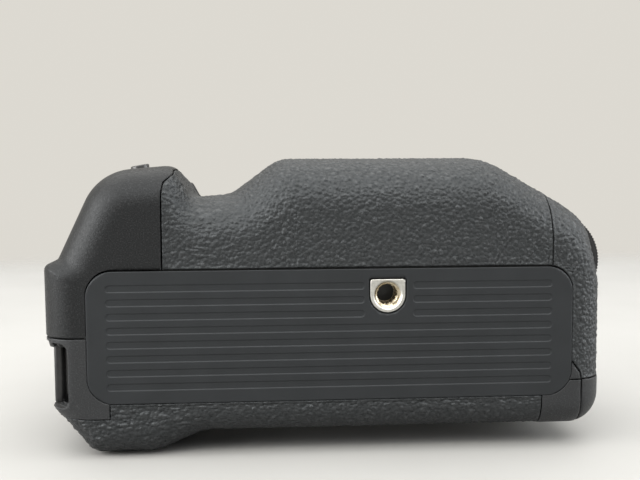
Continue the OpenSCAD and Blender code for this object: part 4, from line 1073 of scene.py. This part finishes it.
def in_strap(p):
    x, y, z = p.T
    eye = (x < STRAP["mouth"]) & (z > STRAP["z"][0]) & (z < STRAP["z"][1]) & (y < STRAP["y"][1])
    for turn_x, turn_z, side in strap_turns:
        corner = (x > turn_x) & ((z - turn_z) * side > 0) & (np.hypot(x - turn_x, z - turn_z) > STRAP_ROUND)
        eye &= ~corner
    return eye


def round_strap(bm):
    """Pulls the ragged corners of the strap eye onto their curve."""
    for v in bm.verts:
        for turn_x, turn_z, side in strap_turns:
            dx, dz = v.co.x - turn_x, v.co.z - turn_z
            far = math.hypot(dx, dz)
            if v.is_boundary and dx > 0 and dz * side > 0 and abs(far - STRAP_ROUND) < STRAP_PULL:
                v.co.x, v.co.z = turn_x + dx / far * STRAP_ROUND, turn_z + dz / far * STRAP_ROUND


def keep_rear_plain(p):
    x, y, z = p.T
    plain = ((x < THUMB_SKIN[0] - GAP) & (z > THUMB_SKIN[1] + GAP)) | (x > CORNER_SKIN + GAP)
    slit = (np.abs(z - SKIN_LOW) < GAP) & (x > SLIT_FROM)
    return inside(rear_outline, p) & plain & ~in_strap(p) & ~slit


plain_slices = [across(HEEL_SEAM - GAP, -1), across(THUMB_SKIN[1] + GAP, 1), upright(CORNER_SKIN + GAP, 1),
                upright(THUMB_SKIN[0] - GAP, -1), upright(STRAP["mouth"], 1), across(STRAP["z"][0], -1),
                across(STRAP["z"][1], 1), level(STRAP["y"][1], 1)] + jog_back
plain_slices += [across(SKIN_LOW + s * GAP, s) + (SLIT_REACH,) for s in (-1, 1)]
# The rear moulding takes the lighter copy of the moulding: painted light from the table below it.
rear_plain = plain_cover("rear_moulding", plain_slices, keep_rear_plain, SHELL, "grip", table_lit_moulding,
                         shape=round_strap)
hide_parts("rear_casing")

# %% [markdown]
# Behind the window the strap eye is a pocket, open to the base and to the end. It could be a box turned
# inside out, but the body's left side is curved: so its wall is one C-shaped section drawn back from the
# base, whose two ends follow the body, and a plate closes it at the back.

# %% Strap eye
STRAP_WALL = 0.8
STRAP_CORNER, CORNER_STEPS = 1.5, 6
POCKET_UNDER, POCKET_GAP = 0.5, 0.04
POCKET_FROM, POCKET_ROWS, BACK_STEPS = 2.3, 9, 12


def left_edge(y, z, under):
    """Where the body's left side lies at height y, for each z."""
    row = ring(y, under, ring_counts(1.0))
    row = row[row[:, 0] < -60]
    row = row[np.argsort(row[:, 1])]
    low = {}
    for x, height in row:
        key = round(height, 1)
        low[key] = min(low.get(key, 0.0), x)
    keys = sorted(low)
    return np.interp(z, keys, [low[q] for q in keys])


def pocket_row(y):
    """One closed section of the pocket's wall: in along the inside, back along the outside."""
    low, high = STRAP["z"][0] + POCKET_GAP, STRAP["z"][1] - POCKET_GAP
    turn = [(STRAP_CORNER * (1 - math.sin(w)), STRAP_CORNER * (1 - math.cos(w)))
            for w in np.linspace(0, math.pi / 2, CORNER_STEPS)]
    inner = [(left_edge(y, high, POCKET_UNDER), high)]
    inner += [(STRAP["back"] - dx, high - dz) for dx, dz in turn]
    inner += [(STRAP["back"] - dx, low + dz) for dx, dz in reversed(turn)]
    inner += [(left_edge(y, low, POCKET_UNDER), low)]
    outer, middle = [], (high + low) / 2
    for k, (x, z) in enumerate(inner):
        end = k in (0, len(inner) - 1)
        outer.append((x if end else x + STRAP_WALL, z + STRAP_WALL * (1 if z > middle else -1)))
    return [(x, y, z) for x, z in inner + outer[::-1]]


rows = [pocket_row(y) for y in np.linspace(POCKET_FROM, STRAP["y"][1], POCKET_ROWS)]
wide = len(rows[0])
points = [p for row in rows for p in row]
faces = [(k * wide + j, k * wide + (j + 1) % wide, (k + 1) * wide + (j + 1) % wide, (k + 1) * wide + j)
         for k in range(len(rows) - 1) for j in range(wide)]
half_row = wide // 2
for start in (0, (len(rows) - 1) * wide):
    faces += [(start + j, start + j + 1, start + wide - 2 - j, start + wide - 1 - j) for j in range(half_row - 1)]
solid_piece("strap_pocket", points, faces, "grip", smooth_moulding)

end_row = np.array(rows[-1])
low_z, high_z = end_row[:, 2].min(), end_row[:, 2].max()
back_y = STRAP["y"][1]
back_edge = [(left_edge(back_y, z, POCKET_UNDER), z) for z in np.linspace(low_z, high_z, BACK_STEPS)]
back_edge += [(STRAP["back"] + STRAP_WALL, high_z), (STRAP["back"] + STRAP_WALL, low_z)]
n = len(back_edge)
points = [(x, y, z) for y in (back_y - 0.05, back_y + STRAP_WALL) for x, z in back_edge]
faces = [tuple(range(n)), tuple(range(2 * n - 1, n - 1, -1))]
faces += [(j, (j + 1) % n, n + (j + 1) % n, n + j) for j in range(n)]
solid_piece("strap_pocket_back", points, faces, "grip", smooth_moulding)

# %% [markdown]
# Under the covering the casing is only seen from inside, when the magazine is out. There a coarser grid is
# enough to give the battery bay its walls.

# %% Rear lining
LINING = 1.75


def lining_cover(name, slices, keep, body):
    bm = cut_cover(lining_points, lining_quads, slices, keep)
    lining = finish_cover(name, bm, np.zeros(len(bm.verts)), LINING, body, smooth_moulding)


lining_cover("rear_lining", rear_slices, keep_rear_skin, "grip")

# %% [markdown]
# The end cap's plain edge, and the lining behind its covering, slide with the magazine. The latch knob turns
# in a shallow cup, which is a turned form like the pieces of the hump.

# %% End cap
def keep_cap_plain(p):
    return in_cap(p) & (p[:, 2] < SKIN_LOW - GAP)


# The cap's plain edge also takes the lighter copy of the moulding: painted light from the table below it.
cap_plain = plain_cover("end_cap_moulding", cap_slices + [across(SKIN_LOW - GAP, -1)], keep_cap_plain, SHELL,
                        "magazine", table_lit_moulding)
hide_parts("end_cap")
lining_cover("end_cap_lining", cap_slices + [across(SKIN_LOW + GAP, 1)], keep_cap_skin, "magazine")
KNOB_FLOOR = 55.5
turned("knob_cup", [(2.5, -1.3), (8.6, -1.3), (8.6, 0.0), (7.6, 0.0), (7.4, -0.1), (2.5, -0.1)],
       (KNOB_FLOOR, knob_mid[1], knob_mid[2]), (1, 0, 0), "magazine", smooth_moulding)

# %% [markdown]
# The base plate carries eight shallow grooves with rounded ends, three of them stopped on both sides of the
# tripod insert. They could be cut with booleans, but a sheet of points that is pressed in by the distance to
# the nearest groove gives soft edges as well. First come the distances: to the outline, to the D-shaped hole
# and to the grooves.

# %% Grooves of the base plate
GROOVE = dict(count=8, first=plate_high[2] - 4.3, pitch=3.52, half=0.9, depth=0.17,
              left=plate_low[0] + 4.8, right=plate_high[0] - 5.3, flank=0.3, spread=0.1)
GROOVE_STOPS, STOPPED_WITHIN = (-5.85, 6.35), 5.75
BUSHING = dict(radius=4.45, flat=4.0, corner=0.7)
HOLE_GAP = 0.3


def box_distance(p, low, high, corner):
    """Signed distance to a rectangle with rounded corners, negative inside."""
    middle, half = (np.array(low) + high) / 2, (np.array(high) - low) / 2
    q = np.abs(p - middle) - half + corner
    return np.linalg.norm(np.maximum(q, 0), axis=1) + np.minimum(q.max(1), 0) - corner


def plate_distance(p):
    return box_distance(p, (plate_low[0], plate_low[2]), (plate_high[0], plate_high[2]), PLATE_CORNER)


def hole_distance(p, gap=HOLE_GAP):
    r, flat = BUSHING["radius"] + gap, BUSHING["flat"] + gap
    square = box_distance(p, (-r, -2.0), (r, flat), BUSHING["corner"])
    return np.where(p[:, 1] < 0, np.linalg.norm(p, axis=1) - r, square)


def groove_spans():
    for k in range(GROOVE["count"]):
        z = GROOVE["first"] - k * GROOVE["pitch"]
        if abs(z) < STOPPED_WITHIN:
            yield GROOVE["left"], GROOVE_STOPS[0], z
            yield GROOVE_STOPS[1], GROOVE["right"], z
        else:
            yield GROOVE["left"], GROOVE["right"], z


def groove_depth(p):
    depth = np.zeros(len(p))
    for left, right, z in groove_spans():
        r = GROOVE["half"]
        x = np.clip(p[:, 0], left + r, right - r)
        inside_by = (r + GROOVE["spread"] - np.hypot(p[:, 0] - x, p[:, 1] - z)) / GROOVE["flank"]
        depth = np.maximum(depth, GROOVE["depth"] * eased(inside_by))
    return depth


print("groove spans:", len(list(groove_spans())))

# %% [markdown]
# The sheet starts as a flat lattice. An even one, fine enough for the groove edges, would hold half a million
# points. So its rows and columns crowd only where an edge runs, and what lies outside the outline or in the
# hole is dropped.

# %% Lattice of the base plate
ROW_STEP, COLUMN_STEP, CLOSEST = 0.45, 0.9, 0.04
CROWD = np.array([-0.3, -0.18, -0.08, 0.0, 0.08, 0.18, 0.3])
HOLE_SPAN, HOLE_STEP = 7.4, 0.22
CORNER_SPAN, CORNER_STEP = 6.6, 0.3


def thinned(marks):
    marks = np.unique(np.round(np.concatenate(marks), 2))
    return marks[np.append(True, np.diff(marks) > CLOSEST)]


def crowded(low, high, step, spots):
    """Even steps from low to high, with more of them round the given spots."""
    marks = [np.linspace(low, high, math.ceil((high - low) / step) + 1)]
    marks += [spot + CROWD for spot in spots]
    marks = np.unique(np.round(np.concatenate(marks), 2))
    return thinned([marks[(marks >= low) & (marks <= high)]])


groove_rows = [GROOVE["first"] - k * GROOVE["pitch"] + s * GROOVE["half"]
               for k in range(GROOVE["count"]) for s in (-1, 1)]
groove_ends = [GROOVE["left"] + 0.2, GROOVE["right"] - 0.2, -6.5, 6.5]
plate_z = crowded(plate_low[2], plate_high[2], ROW_STEP, groove_rows + [plate_low[2], plate_high[2]])
plate_x = thinned([crowded(plate_low[0], plate_high[0], COLUMN_STEP, groove_ends),
                   np.arange(-HOLE_SPAN, HOLE_SPAN, HOLE_STEP),
                   np.arange(plate_low[0], plate_low[0] + CORNER_SPAN, CORNER_STEP),
                   np.arange(plate_high[0] - CORNER_SPAN, plate_high[0], CORNER_STEP)])
flat = np.array([(x, z) for z in plate_z for x in plate_x])
wide = len(plate_x)
quads = np.array([(k * wide + j, k * wide + j + 1, (k + 1) * wide + j + 1, (k + 1) * wide + j)
                  for k in range(len(plate_z) - 1) for j in range(wide - 1)])
middle = flat[quads].mean(1)
quads = quads[(plate_distance(middle) < 0) & (hole_distance(middle) > 0)]
used, quads = np.unique(quads, return_inverse=True)
flat, quads = flat[used], quads.reshape(-1, 4)
print("lattice points:", len(flat))

# %% [markdown]
# The lattice's ragged rim is pulled onto the outline by following the slope of the distance, much as a
# shrinkwrap would. Then every point sinks by its groove and by the rounding of the rim, and Solidify makes
# the sheet a plate.

# %% Base plate
PLATE_RIM, HOLE_RIM, PLATE_SHEET = 0.1, 0.15, 1.1


def settle(points, distance):
    """Moves points onto the outline that the distance is measured from."""
    tiny = 0.01
    slope = np.stack([distance(points + (tiny, 0)) - distance(points - (tiny, 0)),
                      distance(points + (0, tiny)) - distance(points - (0, tiny))], 1) / (2 * tiny)
    slope /= np.maximum(np.linalg.norm(slope, axis=1), 0.2)[:, None]
    return points - slope * distance(points)[:, None]


times = np.zeros(len(flat), int)
np.add.at(times, quads.ravel(), 1)
edge = times < 4
outer = edge & (np.abs(plate_distance(flat)) < np.abs(hole_distance(flat)))
flat[outer] = settle(flat[outer], plate_distance)
flat[edge & ~outer] = settle(flat[edge & ~outer], hole_distance)
sunk = groove_depth(flat) + rim_round(np.clip(-plate_distance(flat), 0, 1), PLATE_RIM)
sunk += rim_round(np.clip(hole_distance(flat), 0, 1), HOLE_RIM)
plate_mesh = bpy.data.meshes.new("ribbed_plate")
plate_points = [(x * MM, (y + plate_low[1]) * MM, z * MM) for (x, z), y in zip(flat, sunk)]
plate_mesh.from_pydata(plate_points, [], quads.tolist())
plate_mesh.shade_smooth()
plate_mesh.materials.append(plate_paint)
plate = bpy.data.objects.new("ribbed_plate", plate_mesh)
scene.collection.objects.link(plate)
sheet = plate.modifiers.new("thickness", "SOLIDIFY")
sheet.thickness = PLATE_SHEET * MM
sheet.offset = -1.0
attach(plate, "grip")
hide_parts("base_plate")
print("ribbed_plate faces:", len(plate_mesh.polygons))

# %% [markdown]
# The tripod insert is the one bright piece: a D-shaped block with a chamfered 1/4 inch hole. Its thread could
# be a bump, but the camera looks straight into the hole, so it is a real helix with 20 turns to the inch. The
# outline of the D is found by halving: for each angle, how far out does the distance change its sign?

# %% Thread and outline of the tripod insert
PITCH = 25.4 / 20
THREAD_CREST, THREAD_DEPTH = 2.58, 0.56
ROUND_STEPS, HALVINGS = 160, 40
angles = np.linspace(0, 2 * math.pi, ROUND_STEPS, endpoint=False)
ways = np.stack([np.cos(angles), np.sin(angles)], 1)
reach = np.full(ROUND_STEPS, 7.0)
short = np.zeros(ROUND_STEPS)
for _ in range(HALVINGS):
    middle = (reach + short) / 2
    beyond = hole_distance(ways * middle[:, None], 0.0) > 0
    reach, short = np.where(beyond, middle, reach), np.where(beyond, short, middle)


def thread_radius(y):
    """Radius of the thread's wall at depth y, for every angle."""
    turn_part = (y / PITCH + angles / (2 * math.pi)) % 1.0
    ridge = np.clip(1.6 * np.abs(2 * turn_part - 1) - 0.3, 0, 1)
    return THREAD_CREST + THREAD_DEPTH * ridge


print("insert reaches from", round(reach.min(), 2), "to", round(reach.max(), 2))

# %% [markdown]
# Rings of points run from the bottom of the hole up the thread, over the chamfer and the face, and down the
# outside. One skin of quads joins them. The finish follows the place: the bottom of the hole gets the black
# painted steel as painted shade, the thread is warm, and the outside is bright.

# %% Tripod insert
CHAMFER = 3.72
even = np.ones(ROUND_STEPS)
rings = [(even * r, 6.42 - 0.12 * (1 - r / 2.4)) for r in (0.0, 0.8, 1.6, 2.4)]
rings += [(thread_radius(y), y) for y in np.arange(6.38, 0.7, -0.09)]
rings += [(even * 3.16, 0.62), (even * 3.3, 0.45), (even * 3.62, 0.14), (even * CHAMFER, 0.08)]
rings += [(CHAMFER + (reach - 0.22 - CHAMFER) * t, 0.06) for t in (0.12, 0.5, 1.0)]
rings += [(reach - 0.08, 0.11), (reach, 0.26), (reach, 4.0), (reach, 8.4), (even * 0.0, 8.4)]
points, faces = [], []
for radius, y in rings:
    points += [(w[0] * r, y, w[1] * r) for w, r in zip(ways, radius)]
for k in range(len(rings) - 1):
    for j in range(ROUND_STEPS):
        a, b = k * ROUND_STEPS + j, k * ROUND_STEPS + (j + 1) % ROUND_STEPS
        faces.append((a, b, b + ROUND_STEPS, a + ROUND_STEPS))
insert = solid_piece("tripod_insert", points, faces, "grip", bright_nickel, sharp=50)
insert.data.materials.append(warm_bore)
# Painted shade: the black painted steel goes on the floor of the hole, in place of the shade deep inside it.
insert.data.materials.append(black_paint)
for face in insert.data.polygons:
    out, deep = math.hypot(face.center.x, face.center.z) / MM, face.center.y / MM
    face.material_index = 2 if out < 2.45 and deep < 7 else 1 if out < 3.3 and 0.3 < deep < 7 else 0
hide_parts("tripod_socket")

# %% [markdown]
# What stays from the CAD model keeps its shape and gets soft edges: the importer leaves each face with its
# own points, so they are welded before a narrow bevel runs along the sharp edges. Its finish comes from the
# record's material slot.

# %% Soft edges and finishes for the remaining solids
slot_finish = {
    "casing": smooth_moulding, "grip": leather, "plate": plate_paint, "steel": steel, "pad": rubber,
    "contact": gold, "painted": black_paint, "board": solder_mask, "alloy": alloy, "wheel": rubber,
    "gear": acetal, "tray": smooth_moulding, "button": satin,
}
EDGE_WIDTHS = {"base_plate": 0.3, "strap_bar": 0.3, "stalk": 0.4, "stalk_head": 0.5, "rear_panel": 0.2,
               "shutter_button": 0.3, "power_lever": 0.3, "latch_knob": 0.3, "seat_plate": 0.3}
PLAIN_EDGE = 0.12


def soften(node, width):
    piece = cad[node]
    weld = piece.modifiers.new("weld", "WELD")
    weld.merge_threshold = 0.002 * MM
    edge = piece.modifiers.new("soft_edge", "BEVEL")
    edge.width = width * MM
    edge.segments = 3
    edge.limit_method = "ANGLE"
    edge.angle_limit = math.radians(38)


def dress(node, finish):
    mesh = cad[node].data
    mesh.materials.clear()
    mesh.materials.append(finish)


for row in frame["record"]["subparts"]:
    dress(row["node"], slot_finish[row["material_slot"]])
    soften(row["node"], EDGE_WIDTHS.get(row["node"], PLAIN_EDGE))
